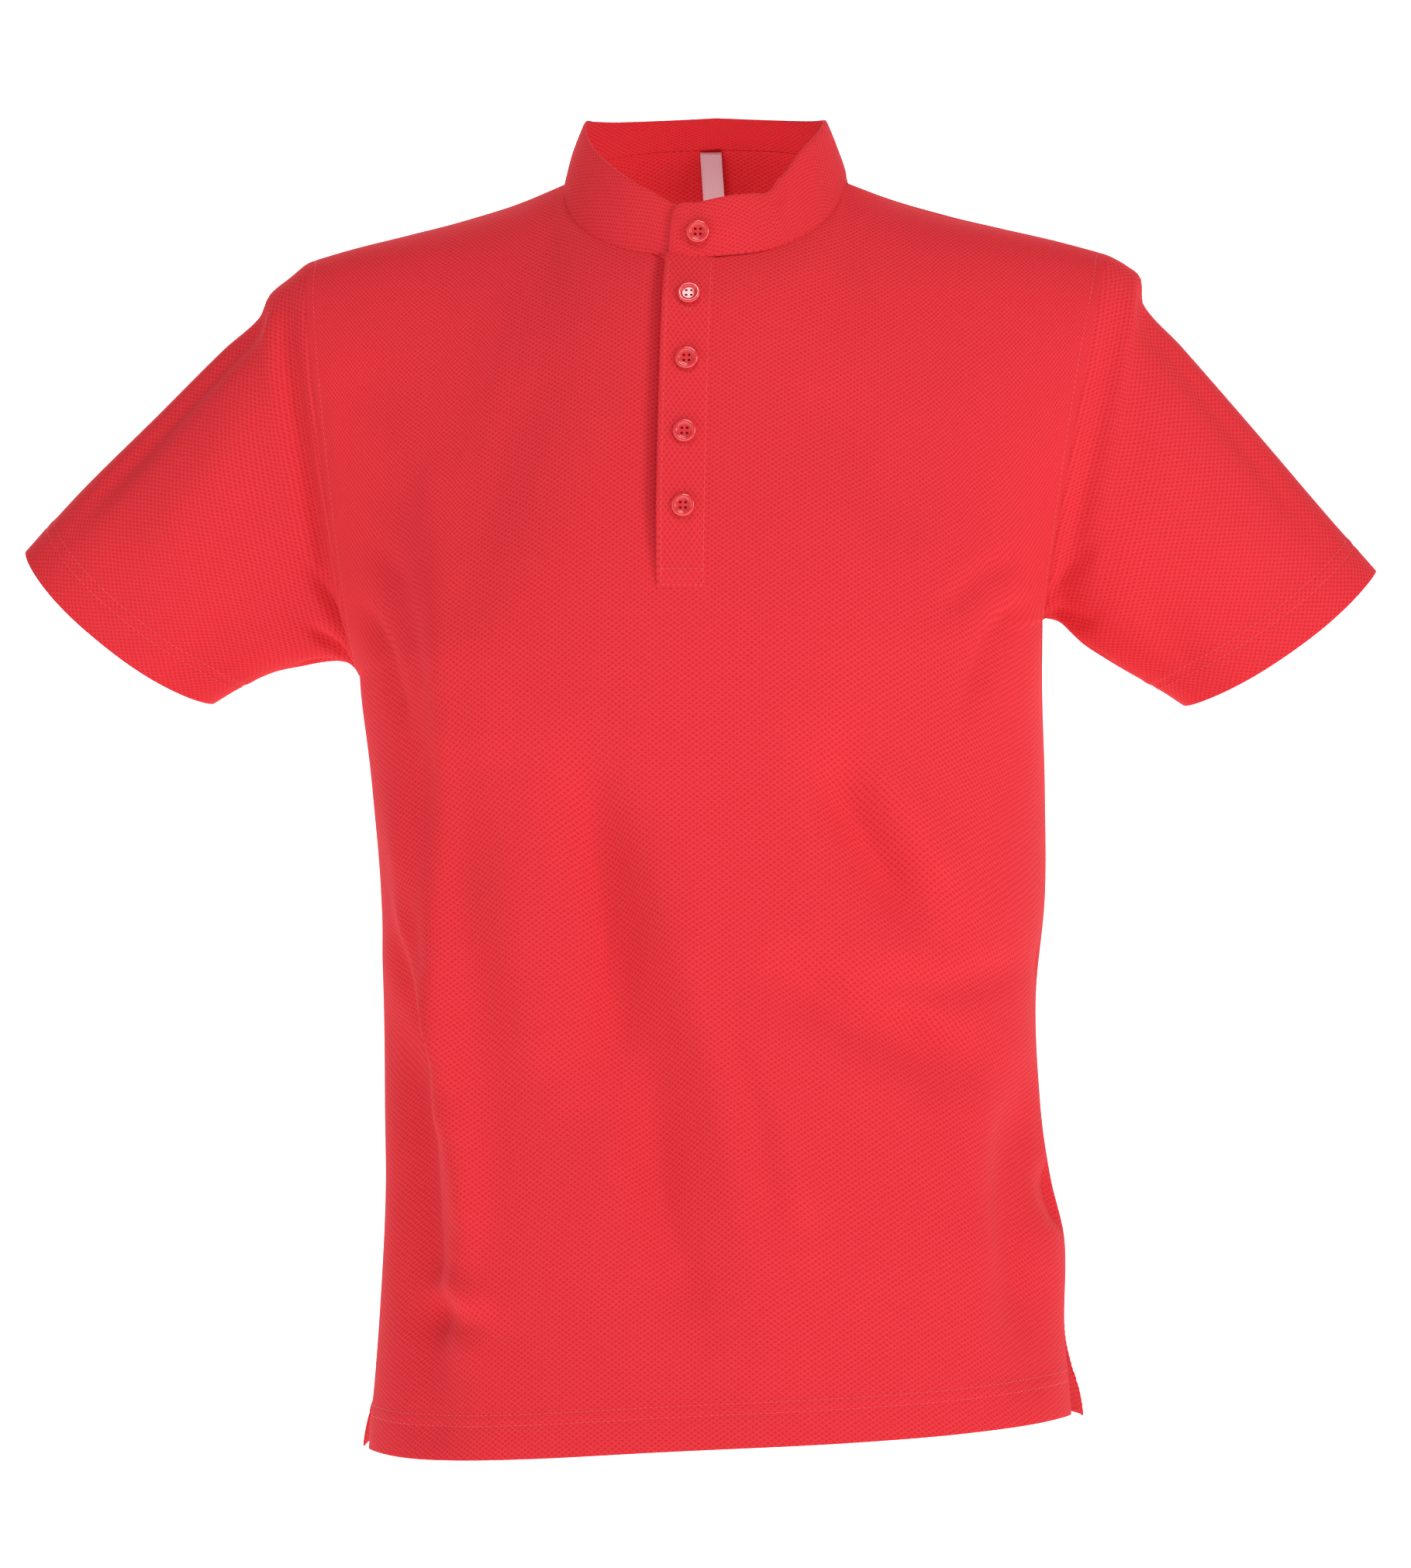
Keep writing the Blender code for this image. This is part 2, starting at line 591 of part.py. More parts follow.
def button_mesh(mat, cutters):
    """A turned disc with its back at z 0, and its four holes."""
    profile = (
        (0.0, BUTTON_THICKNESS - BUTTON_DISH),
        (BUTTON_RADIUS - BUTTON_RIM * 1.5, BUTTON_THICKNESS - BUTTON_DISH),
        (BUTTON_RADIUS - BUTTON_RIM, BUTTON_THICKNESS - 0.0001),
        (BUTTON_RADIUS - 0.0005, BUTTON_THICKNESS),
        (BUTTON_RADIUS, BUTTON_THICKNESS * 0.65),
        (BUTTON_RADIUS - BUTTON_FOOT * 0.4, BUTTON_FOOT_RISE),
        (BUTTON_RADIUS - BUTTON_FOOT, 0.0),
        (0.0, 0.0),
    )
    mesh = bpy.data.meshes.new("button_profile")
    bm = bmesh.new()
    points = [bm.verts.new((x, 0.0, z)) for x, z in profile]
    for first, second in zip(points, points[1:]):
        bm.edges.new((first, second))
    bm.to_mesh(mesh)
    bm.free()
    disc = bpy.data.objects.new("button_profile", mesh)
    cutters.objects.link(disc)
    turn = disc.modifiers.new("turn", "SCREW")
    turn.steps = BUTTON_STEPS
    turn.render_steps = BUTTON_STEPS
    turn.use_merge_vertices = True
    turn.merge_threshold = 0.00001
    for index in range(4):
        angle = math.pi / 4.0 + index * math.pi / 2.0
        bpy.ops.mesh.primitive_cylinder_add(vertices=8, radius=HOLE_RADIUS, depth=0.01)
        drill = bpy.context.object
        drill.name = f"hole_cutter_{index + 1}"
        for old in list(drill.users_collection):
            old.objects.unlink(drill)
        cutters.objects.link(drill)
        offset = HOLE_PITCH / math.sqrt(2.0)
        drill.location = (offset * math.cos(angle), offset * math.sin(angle), 0.0)
        cut(disc, drill)
    bpy.context.view_layer.update()
    made = bpy.data.meshes.new_from_object(disc.evaluated_get(bpy.context.evaluated_depsgraph_get()))
    made.name = "button"
    made.materials.clear()
    made.materials.append(mat)
    bpy.data.objects.remove(disc, do_unlink=True)
    for obj in list(cutters.objects):
        if obj.name.startswith("hole_cutter"):
            bpy.data.objects.remove(obj, do_unlink=True)
    made.shade_smooth()
    made.set_sharp_from_angle(angle=math.radians(35.0))
    return made


def build_buttons(mat, home, cutters):
    mesh = button_mesh(mat, cutters)
    seats = []
    point, outward = band_point(BAND_BUTTON_TURN, BAND_BUTTON_UP)
    seats.append((point + outward * (BAND_WALL / 2.0 + BUTTON_CLEARANCE), outward))
    out = CLOTH / 2.0 + LAYER_GAP + PLACKET_WALL + BUTTON_CLEARANCE
    for z in BUTTON_HEIGHTS:
        point, outward = panel_at(-1, BUTTON_X, z)
        seats.append((point + outward * (out + PLACKET_PROUD * BUTTON_LIFT_SHARE), outward))
    for index, (seat, outward) in enumerate(seats):
        button = bpy.data.objects.new(f"button_{index + 1}", mesh)
        button.location = seat
        button.rotation_mode = "QUATERNION"
        button.rotation_quaternion = outward.to_track_quat("Z", "Y")
        home.objects.link(button)


def build_label(mat, home):
    """A short strip that hangs inside the back of the neck from the seam."""
    seam = loop_point(NECK_LOOP, 180.0)

    def place(u, v):
        down = LABEL_LENGTH * (1.0 - v)
        x = LABEL_X + LABEL_WIDTH * (u - 0.5)
        y = seam.y - LABEL_CLEARANCE + LABEL_SLOPE * down
        return Vector((x, y, seam.z - LABEL_DROP - down))
    thicken(grid_object("neck_label", 2, 8, place, mat, home), LABEL_WALL)


def main():
    clear_scene()
    home = collection(NAME)
    cutters = collection("cutters")
    cloth = material("red_pique", CLOTH_RED, 0.85)
    resin = material("red_resin", BUTTON_RED, 0.18)
    satin = material("white_satin", LABEL_WHITE, 0.45)
    build_panels(cloth, home, cutters)
    build_sleeves(cloth, home)
    build_band(cloth, home)
    build_placket(cloth, home)
    build_buttons(resin, home, cutters)
    build_label(satin, home)


main()
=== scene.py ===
"""Dresses the polo shirt: knitted walls, seams, stitches, moulded buttons, a bare label and the studio."""
import math
from collections import namedtuple

import bmesh
import bpy
import numpy as np
from bpy.props import FloatProperty, PointerProperty, StringProperty
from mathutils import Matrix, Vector


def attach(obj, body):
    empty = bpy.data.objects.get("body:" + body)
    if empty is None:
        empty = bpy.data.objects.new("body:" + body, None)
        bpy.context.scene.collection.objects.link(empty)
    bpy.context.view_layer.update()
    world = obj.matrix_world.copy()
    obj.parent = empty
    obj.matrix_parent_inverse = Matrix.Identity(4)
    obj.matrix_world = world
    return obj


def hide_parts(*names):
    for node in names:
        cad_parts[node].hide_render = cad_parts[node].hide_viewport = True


bl_info = {
    "name": "Polo Shirt Dresser",
    "version": (1, 0, 0),
    "blender": (4, 5, 0),
    "location": "3D View > Sidebar > Polo Shirt",
    "description": "Makes a knitted polo shirt with a band collar and its studio",
    "category": "Object",
}

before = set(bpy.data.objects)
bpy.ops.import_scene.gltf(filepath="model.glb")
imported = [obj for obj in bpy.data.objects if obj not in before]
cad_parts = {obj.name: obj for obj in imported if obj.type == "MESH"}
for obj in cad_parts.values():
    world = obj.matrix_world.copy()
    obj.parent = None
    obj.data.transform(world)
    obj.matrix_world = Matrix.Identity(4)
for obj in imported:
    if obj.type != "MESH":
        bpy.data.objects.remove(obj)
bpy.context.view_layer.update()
ROOT = "root"

# The photograph's frame, in pixels, and what a pixel stands for at the shirt's middle
IMAGE_WIDTH = 1820
IMAGE_HEIGHT = 2022
PIXEL = 0.000438
NECK_POINT_ROW = 238
MIDDLE_COLUMN = 915
CAMERA_DISTANCE = 3.2
CAMERA_TURN = math.radians(5.5)
CAMERA_RISE = math.radians(3.0)
SENSOR = 36.0

# Body tube, from the hem up to the armpits: half widths to the wearer's right and left seams,
# depths of the front and the back, and how square the ring is.
Section = namedtuple("Section", "z right left front back power")
SECTIONS = (
    Section(-0.730, 0.1930, 0.2060, 0.118, 0.108, 2.25),
    Section(-0.690, 0.1900, 0.2045, 0.118, 0.108, 2.25),
    Section(-0.645, 0.1865, 0.2010, 0.118, 0.107, 2.28),
    Section(-0.595, 0.1835, 0.2010, 0.118, 0.106, 2.30),
    Section(-0.560, 0.1830, 0.1930, 0.118, 0.105, 2.32),
    Section(-0.520, 0.1840, 0.1870, 0.118, 0.104, 2.34),
    Section(-0.460, 0.1850, 0.1838, 0.120, 0.104, 2.36),
    Section(-0.400, 0.1850, 0.1890, 0.123, 0.106, 2.38),
    Section(-0.340, 0.1890, 0.1885, 0.127, 0.110, 2.40),
    Section(-0.285, 0.1965, 0.1865, 0.130, 0.114, 2.40),
    Section(-0.235, 0.1985, 0.1870, 0.131, 0.117, 2.40),
)

# Armhole and sleeve rings, from the armhole to the cuff: the top and the low point of each ring,
# its reach to the front and the back, its middle, and how far its front is pushed along the sleeve.
Ring = namedtuple("Ring", "at top_x top_z low_x low_z front back middle bow")
RIGHT_ARM = (
    Ring(0.000, -0.2256, -0.0450, -0.1975, -0.2785, 0.048, 0.051, 0.000, 0.000),
    Ring(0.060, -0.2360, -0.0530, -0.2045, -0.2720, 0.047, 0.050, 0.001, 0.000),
    Ring(0.125, -0.2480, -0.0625, -0.2110, -0.2700, 0.047, 0.049, 0.002, 0.001),
    Ring(0.186, -0.2545, -0.0755, -0.2170, -0.2700, 0.047, 0.049, 0.003, 0.002),
    Ring(0.300, -0.2750, -0.0930, -0.2270, -0.2715, 0.046, 0.048, 0.004, 0.003),
    Ring(0.550, -0.3165, -0.1330, -0.2490, -0.2755, 0.043, 0.045, 0.006, 0.005),
    Ring(0.800, -0.3585, -0.1730, -0.2690, -0.2840, 0.041, 0.042, 0.008, 0.006),
    Ring(1.000, -0.3920, -0.2080, -0.2860, -0.2940, 0.040, 0.040, 0.010, 0.0085),
)
LEFT_ARM = (
    Ring(0.000, 0.2238, -0.0425, 0.1885, -0.2440, 0.048, 0.051, 0.000, 0.000),
    Ring(0.060, 0.2345, -0.0490, 0.1975, -0.2470, 0.047, 0.050, 0.001, 0.000),
    Ring(0.110, 0.2415, -0.0555, 0.2045, -0.2535, 0.047, 0.049, 0.002, 0.001),
    Ring(0.160, 0.2430, -0.0700, 0.2105, -0.2590, 0.047, 0.049, 0.003, 0.002),
    Ring(0.300, 0.2645, -0.0935, 0.2230, -0.2670, 0.046, 0.048, 0.004, 0.003),
    Ring(0.550, 0.3045, -0.1390, 0.2400, -0.2770, 0.043, 0.045, 0.006, 0.005),
    Ring(0.800, 0.3430, -0.1840, 0.2550, -0.2850, 0.041, 0.042, 0.008, 0.006),
    Ring(1.000, 0.3730, -0.2185, 0.2675, -0.2930, 0.040, 0.040, 0.010, 0.009),
)
ARM_POWER = 2.25
SHOULDER_FORWARD = -0.010

# Shoulder seams: drop below the neck point along the way to the shoulder tip
Drop = namedtuple("Drop", "along z")
SHOULDER_DROPS = (
    Drop(0.00, 0.0000),
    Drop(0.20, -0.0120),
    Drop(0.40, -0.0207),
    Drop(0.60, -0.0275),
    Drop(0.80, -0.0343),
    Drop(1.00, -0.0425),
)
NECK_SHARE = 0.40
SEAM_RISE = 0.26
YOKE_SPREAD = 0.07

# Neck ring under the collar band and the band's upper ring
Loop = namedtuple("Loop", "right left front_y side_y back_y power rise")
Rise = namedtuple("Rise", "turn z")
NECK_RISE = (
    Rise(0.0, -0.0450),
    Rise(30.0, -0.0400),
    Rise(60.0, -0.0240),
    Rise(90.0, -0.0010),
    Rise(120.0, 0.0125),
    Rise(150.0, 0.0200),
    Rise(180.0, 0.0225),
)
BAND_RISE_RIGHT = (
    Rise(0.0, -0.0185),
    Rise(9.5, -0.0160),
    Rise(20.5, -0.0094),
    Rise(29.5, -0.0041),
    Rise(56.0, 0.0132),
    Rise(90.0, 0.0338),
    Rise(105.0, 0.0350),
    Rise(125.0, 0.0355),
    Rise(150.0, 0.0368),
    Rise(180.0, 0.0385),
)
BAND_RISE_LEFT = (
    Rise(0.0, -0.0150),
    Rise(15.0, -0.0110),
    Rise(26.0, -0.0096),
    Rise(34.0, -0.0088),
    Rise(42.0, 0.0008),
    Rise(57.0, 0.0165),
    Rise(75.0, 0.0275),
    Rise(90.0, 0.0338),
    Rise(105.0, 0.0350),
    Rise(125.0, 0.0355),
    Rise(150.0, 0.0368),
    Rise(180.0, 0.0385),
)
NECK_LOOP = Loop(0.0800, 0.0765, -0.0760, -0.0070, 0.0660, 2.15, NECK_RISE)
BAND_TOP = Loop(0.0690, 0.0650, -0.0705, -0.0020, 0.0420, 2.10, BAND_RISE_RIGHT)
BAND_TURNS = (11.0, -371.0)
BAND_LIFT = 0.0028
BAND_OVERLAP = 0.0008
BAND_LIFT_START = 18.0
BAND_LIFT_TURN = 55.0
TAB_CORNER = 0.0075
TAB_LOW_CORNER = 0.0030
# A crease where the band folds over the tab: its turn, its width in degrees and its depth
BAND_CREASE_TURN = -322.5
BAND_CREASE_WIDTH = 1.3
BAND_CREASE_DEPTH = 0.0016

# Hems, from the wearer's right seam to the left one
Hem = namedtuple("Hem", "across z")
FRONT_HEM = (
    Hem(-1.0, -0.7180),
    Hem(-0.8, -0.7145),
    Hem(-0.5, -0.7110),
    Hem(0.0, -0.6980),
    Hem(0.5, -0.6915),
    Hem(0.8, -0.6910),
    Hem(1.0, -0.6930),
)
BACK_HEM = (
    Hem(-1.0, -0.7190),
    Hem(-0.5, -0.7080),
    Hem(0.0, -0.7040),
    Hem(0.5, -0.6990),
    Hem(1.0, -0.6950),
)
VENT = 0.049
VENT_FRONT_OPENING = 0.0030
VENT_BACK_OPENING = 0.0065
SEAM_SHIFT = 0.00016

# Folds as soft troughs and ridges along a line of three points
Fold = namedtuple("Fold", "x0 z0 x1 z1 x2 z2 width height")
FRONT_FOLDS = (
    Fold(-0.066, -0.285, -0.037, -0.425, -0.006, -0.600, 0.022, -0.0045),
    Fold(-0.030, -0.350, 0.014, -0.460, 0.052, -0.640, 0.018, 0.0030),
    Fold(0.074, -0.290, 0.100, -0.370, 0.132, -0.415, 0.017, -0.0035),
    Fold(0.034, -0.420, 0.092, -0.462, 0.165, -0.495, 0.016, -0.0035),
    Fold(-0.178, -0.300, -0.140, -0.430, -0.128, -0.640, 0.016, 0.0045),
    Fold(-0.176, -0.430, -0.158, -0.540, -0.146, -0.690, 0.015, -0.0060),
    Fold(0.182, -0.480, 0.176, -0.560, 0.184, -0.660, 0.014, -0.0050),
    Fold(-0.195, -0.110, -0.150, -0.170, -0.138, -0.300, 0.018, 0.0030),
)
BACK_FOLDS = (
    Fold(-0.060, -0.230, -0.070, -0.420, -0.040, -0.640, 0.022, -0.0045),
    Fold(0.050, -0.260, 0.062, -0.420, 0.040, -0.600, 0.024, -0.0040),
    Fold(0.000, -0.380, -0.006, -0.500, 0.012, -0.680, 0.020, 0.0030),
    Fold(0.165, -0.330, 0.130, -0.470, 0.140, -0.660, 0.018, -0.0045),
    Fold(-0.160, -0.360, -0.135, -0.480, -0.140, -0.680, 0.018, -0.0040),
)
# Finer creases that only the looks need
FRONT_CREASES = (
    Fold(-0.064, -0.294, -0.038, -0.413, -0.050, -0.510, 0.013, -0.0040),
    Fold(-0.110, -0.340, -0.092, -0.440, -0.080, -0.500, 0.018, 0.0030),
    Fold(-0.024, -0.500, -0.016, -0.570, 0.012, -0.632, 0.011, -0.0026),
    Fold(0.020, -0.405, 0.052, -0.510, 0.066, -0.585, 0.011, 0.0028),
    Fold(0.006, -0.420, 0.036, -0.520, 0.048, -0.600, 0.010, -0.0026),
    Fold(0.064, -0.317, 0.100, -0.365, 0.120, -0.405, 0.011, -0.0034),
    Fold(0.084, -0.300, 0.122, -0.350, 0.142, -0.395, 0.011, 0.0024),
    Fold(0.084, -0.437, 0.136, -0.446, 0.186, -0.436, 0.010, -0.0026),
    Fold(0.110, -0.448, 0.130, -0.480, 0.136, -0.520, 0.010, -0.0022),
    Fold(-0.136, -0.180, -0.138, -0.400, -0.136, -0.600, 0.009, 0.0022),
    Fold(-0.148, -0.180, -0.150, -0.400, -0.148, -0.600, 0.009, -0.0022),
    Fold(-0.168, -0.385, -0.150, -0.440, -0.130, -0.495, 0.006, 0.0030),
    Fold(-0.130, -0.495, -0.124, -0.540, -0.122, -0.590, 0.007, 0.0026),
    Fold(-0.176, -0.400, -0.160, -0.460, -0.142, -0.510, 0.008, -0.0036),
    Fold(-0.142, -0.510, -0.137, -0.550, -0.134, -0.600, 0.008, -0.0030),
    Fold(-0.168, -0.624, -0.138, -0.612, -0.104, -0.622, 0.008, 0.0026),
    Fold(-0.168, -0.640, -0.138, -0.632, -0.110, -0.640, 0.009, -0.0026),
    Fold(0.190, -0.545, 0.196, -0.570, 0.203, -0.588, 0.004, -0.0040),
    Fold(-0.196, -0.225, -0.172, -0.262, -0.158, -0.310, 0.006, -0.0030),
    Fold(-0.190, -0.190, -0.162, -0.225, -0.150, -0.270, 0.007, -0.0024),
    Fold(0.186, -0.228, 0.165, -0.250, 0.150, -0.290, 0.006, -0.0030),
    Fold(0.184, -0.205, 0.158, -0.220, 0.136, -0.240, 0.006, -0.0022),
    Fold(-0.194, -0.095, -0.160, -0.170, -0.148, -0.240, 0.014, -0.0026),
    Fold(0.060, -0.100, 0.095, -0.150, 0.130, -0.210, 0.020, -0.0018),
    Fold(-0.075, -0.090, -0.100, -0.150, -0.120, -0.220, 0.018, -0.0016),
    Fold(-0.130, -0.230, -0.118, -0.280, -0.112, -0.330, 0.020, 0.0026),
)
BACK_CREASES = (
    Fold(-0.062, -0.260, -0.072, -0.400, -0.046, -0.560, 0.012, -0.0036),
    Fold(-0.090, -0.300, -0.098, -0.420, -0.080, -0.560, 0.014, 0.0026),
    Fold(0.052, -0.300, 0.064, -0.420, 0.044, -0.560, 0.012, -0.0034),
    Fold(0.080, -0.320, 0.092, -0.440, 0.080, -0.580, 0.014, 0.0026),
    Fold(0.010, -0.420, 0.000, -0.520, 0.014, -0.640, 0.010, -0.0026),
    Fold(-0.185, -0.240, -0.150, -0.290, -0.130, -0.350, 0.008, -0.0030),
    Fold(0.180, -0.235, 0.150, -0.280, 0.120, -0.330, 0.008, -0.0030),
    Fold(-0.100, -0.060, -0.070, -0.120, -0.060, -0.190, 0.016, -0.0018),
    Fold(0.100, -0.060, 0.075, -0.130, 0.060, -0.210, 0.016, -0.0020),
    Fold(-0.150, -0.450, -0.110, -0.520, -0.060, -0.560, 0.009, -0.0026),
    Fold(0.150, -0.420, 0.100, -0.500, 0.050, -0.540, 0.009, -0.0026),
    Fold(-0.180, -0.560, -0.150, -0.600, -0.140, -0.660, 0.009, -0.0030),
    Fold(0.180, -0.540, 0.155, -0.590, 0.148, -0.650, 0.009, -0.0030),
)
FOLD_EDGE = 0.90
FOLD_GAIN = 2.3
CREASE_GAIN = 1.6

# Sleeve creases: from and to, in shares of the sleeve's length and turns round it
Crease = namedtuple("Crease", "at0 turn0 at1 turn1 width height")
SLEEVE_CREASES = (
    Crease(0.10, 0.12, 0.13, 0.44, 0.028, -0.0042),
    Crease(0.20, 0.43, 0.92, 0.385, 0.026, -0.0034),
    Crease(0.28, 0.32, 0.85, 0.26, 0.050, 0.0030),
    Crease(0.02, 0.045, 0.30, 0.11, 0.015, -0.0036),
    Crease(0.02, 0.090, 0.22, 0.18, 0.013, -0.0030),
    Crease(0.04, 0.010, 0.50, 0.03, 0.018, -0.0026),
    Crease(0.45, 0.17, 0.95, 0.13, 0.030, -0.0020),
    Crease(0.10, 0.88, 0.14, 0.58, 0.030, -0.0040),
    Crease(0.20, 0.57, 0.90, 0.63, 0.028, -0.0030),
    Crease(0.25, 0.70, 0.85, 0.76, 0.050, 0.0028),
    Crease(0.02, 0.950, 0.30, 0.89, 0.016, -0.0032),
    Crease(0.45, 0.84, 0.95, 0.88, 0.030, -0.0020),
)
RIGHT_SLEEVE_GAIN = 1.5
LEFT_SLEEVE_GAIN = 0.9

# Placket
PLACKET_MIDDLE = -0.003
PLACKET_WIDTH = 0.0272
PLACKET_LOW = -0.2255
PLACKET_PROUD = 0.0030
GROOVE_DEPTH = 0.0053
GROOVE_WIDTH = 0.0060

# Buttons
BUTTON_HEIGHTS = (-0.0670, -0.1020, -0.1415, -0.1815)
BUTTON_X = -0.0020
BAND_BUTTON_TURN = -359.0
BAND_BUTTON_UP = 0.45

# Label
LABEL_X = -0.0055
LABEL_WIDTH = 0.0123
LABEL_LENGTH = 0.046
LABEL_DROP = 0.0022
LABEL_CLEARANCE = 0.0012
LABEL_SLOPE = 0.20


def blend(start, end, share):
    return start + (end - start) * share


def ease(value, low, high):
    """0 below low, 1 above high and a soft step between them."""
    share = np.clip((value - low) / (high - low), 0.0, 1.0)
    return share * share * (3.0 - 2.0 * share)


def bell(distance, width):
    return np.exp(-(distance / width) ** 2)


def unit(vectors):
    return vectors / np.maximum(np.linalg.norm(vectors, axis=-1, keepdims=True), 1e-12)


def stack(x, y, z):
    return np.stack(np.broadcast_arrays(x, y, z), axis=-1)


def read(table, place, name):
    """The named column of a table at places of its first column, along a smooth curve."""
    places = np.array([row[0] for row in table], dtype=float)
    values = np.array([getattr(row, name) for row in table], dtype=float)
    place = np.clip(np.asarray(place, dtype=float), places[0], places[-1])
    last = len(table) - 1
    before, after = np.maximum(np.arange(last + 1) - 1, 0), np.minimum(np.arange(last + 1) + 1, last)
    slopes = (values[after] - values[before]) / (places[after] - places[before])
    low = np.clip(np.searchsorted(places, place, side="right") - 1, 0, last - 1)
    step = places[low + 1] - places[low]
    t = (place - places[low]) / step
    rise = values[low + 1] - values[low]
    a = slopes[low] * step - rise
    b = rise - slopes[low + 1] * step
    return values[low] + t * rise + t * (1.0 - t) * (a * (1.0 - t) + b * t)


def squircle(angle, power):
    """Sine and cosine of an angle, pushed out onto a ring with fuller corners."""
    sine, cosine = np.sin(angle), np.cos(angle)
    size = (np.abs(sine) ** power + np.abs(cosine) ** power) ** (1.0 / power)
    return sine / size, cosine / size


def loop_point(loop, turn):
    """Points of a neck ring: turn 0 is the front, 90 the wearer's left and 180 the back."""
    across, ahead = squircle(np.radians(turn), loop.power)
    half = blend(loop.right, loop.left, (across + 1.0) / 2.0)
    mean, swing = (loop.front_y + loop.back_y) / 2.0, (loop.front_y - loop.back_y) / 2.0
    y = loop.side_y + swing * ahead + (mean - loop.side_y) * ahead * ahead
    folded = np.abs((np.asarray(turn) + 180.0) % 360.0 - 180.0)
    return stack(half * across, y, read(loop.rise, folded, "z"))


def arm_point(table, at, angle):
    """Points of a sleeve: angle 0 is under the arm, a quarter turn the front and a half the top."""
    at, angle = np.broadcast_arrays(np.asarray(at, dtype=float), np.asarray(angle, dtype=float))
    value = {name: read(table, at, name) for name in Ring._fields[1:]}
    across, ahead = squircle(angle, ARM_POWER)
    zero = np.zeros_like(across)
    top = stack(value["top_x"], zero, value["top_z"])
    low = stack(value["low_x"], zero, value["low_z"])
    half = (top - low) / 2.0
    side = 1.0 if table is LEFT_ARM else -1.0
    outward = unit(stack(half[..., 2] * side, zero, -half[..., 0] * side))
    reach = np.where(across > 0.0, value["front"], value["back"])
    forward = SHOULDER_FORWARD * (1.0 - ahead) / 2.0 * (1.0 - at)
    bow = value["bow"] * across * np.abs(across)
    point = (top + low) / 2.0 - half * ahead[..., None] + outward * bow[..., None]
    point[..., 1] = value["middle"] + forward - reach * across
    return point


def neck_point(side, s):
    turn = 90.0 * s / NECK_SHARE
    return loop_point(NECK_LOOP, turn if side < 0 else 180.0 - turn)


def top_edge(side, s):
    """The upper edge of a panel: shoulder seam, neckline and shoulder seam."""
    along = np.clip((np.abs(s) - NECK_SHARE) / (1.0 - NECK_SHARE), 0.0, 1.0)
    share = read(SHOULDER_DROPS, along, "z") / SHOULDER_DROPS[-1].z
    shoulders = np.zeros(s.shape + (3,))
    for sign, table in ((-1.0, RIGHT_ARM), (1.0, LEFT_ARM)):
        neck = neck_point(-1, np.array(sign * NECK_SHARE))
        tip = arm_point(table, 0.0, math.pi)
        line = neck + (tip - neck) * along[..., None]
        line[..., 2] = blend(neck[2], tip[2], share)
        shoulders = np.where((np.sign(s) == sign)[..., None], line, shoulders)
    inside = np.clip(s, -NECK_SHARE, NECK_SHARE)
    return np.where((np.abs(s) <= NECK_SHARE)[..., None], neck_point(side, inside), shoulders)


def top_heading(side, s):
    """The way a panel runs as it reaches its upper edge."""
    neck = np.array((0.0, -side * 0.80, 0.60 if side < 0 else 0.45))
    shoulder = np.array((0.0, -side * 1.0, -side * SEAM_RISE))
    return unit(blend(neck, shoulder, ease(np.abs(s), 0.12, 0.62)[..., None]))


def ring_point(side, s, z):
    """The body tube at heights: s runs from -1 at the wearer's right seam to 1 at the left one."""
    across, ahead = squircle(math.pi / 2.0 * s, read(SECTIONS, z, "power"))
    half = blend(read(SECTIONS, z, "right"), read(SECTIONS, z, "left"), (s + 1.0) / 2.0)
    depth = read(SECTIONS, z, "front" if side < 0 else "back")
    return stack(half * across, side * depth * ahead, z)


def armpit_z(s):
    return blend(RIGHT_ARM[0].low_z, LEFT_ARM[0].low_z, (s + 1.0) / 2.0)


def hem_z(side, s):
    return read(FRONT_HEM if side < 0 else BACK_HEM, s, "z")


def yoke_point(side, s, t):
    """Points on the curves that climb from the armpit ring to the upper edge as t runs from 0 to 1."""
    low, high = ring_point(side, s, armpit_z(s)), top_edge(side, s)
    rise = high[..., 2] - low[..., 2]
    leave = stack((high[..., 0] - low[..., 0]) * 0.6, np.zeros_like(rise), rise * 1.15)
    fuller = 1.2 + 0.5 * ease(np.abs(s), 0.3, 0.5) * (1.0 - ease(np.abs(s), 0.6, 1.0))
    arrive = top_heading(side, s) * (np.abs(high[..., 1] - low[..., 1]) * fuller + rise * 0.15)[..., None]
    t = t[..., None]
    return (low * (2 * t ** 3 - 3 * t ** 2 + 1) + leave * (t ** 3 - 2 * t ** 2 + t)
            + high * (3 * t ** 2 - 2 * t ** 3) + arrive * (t ** 3 - t ** 2))


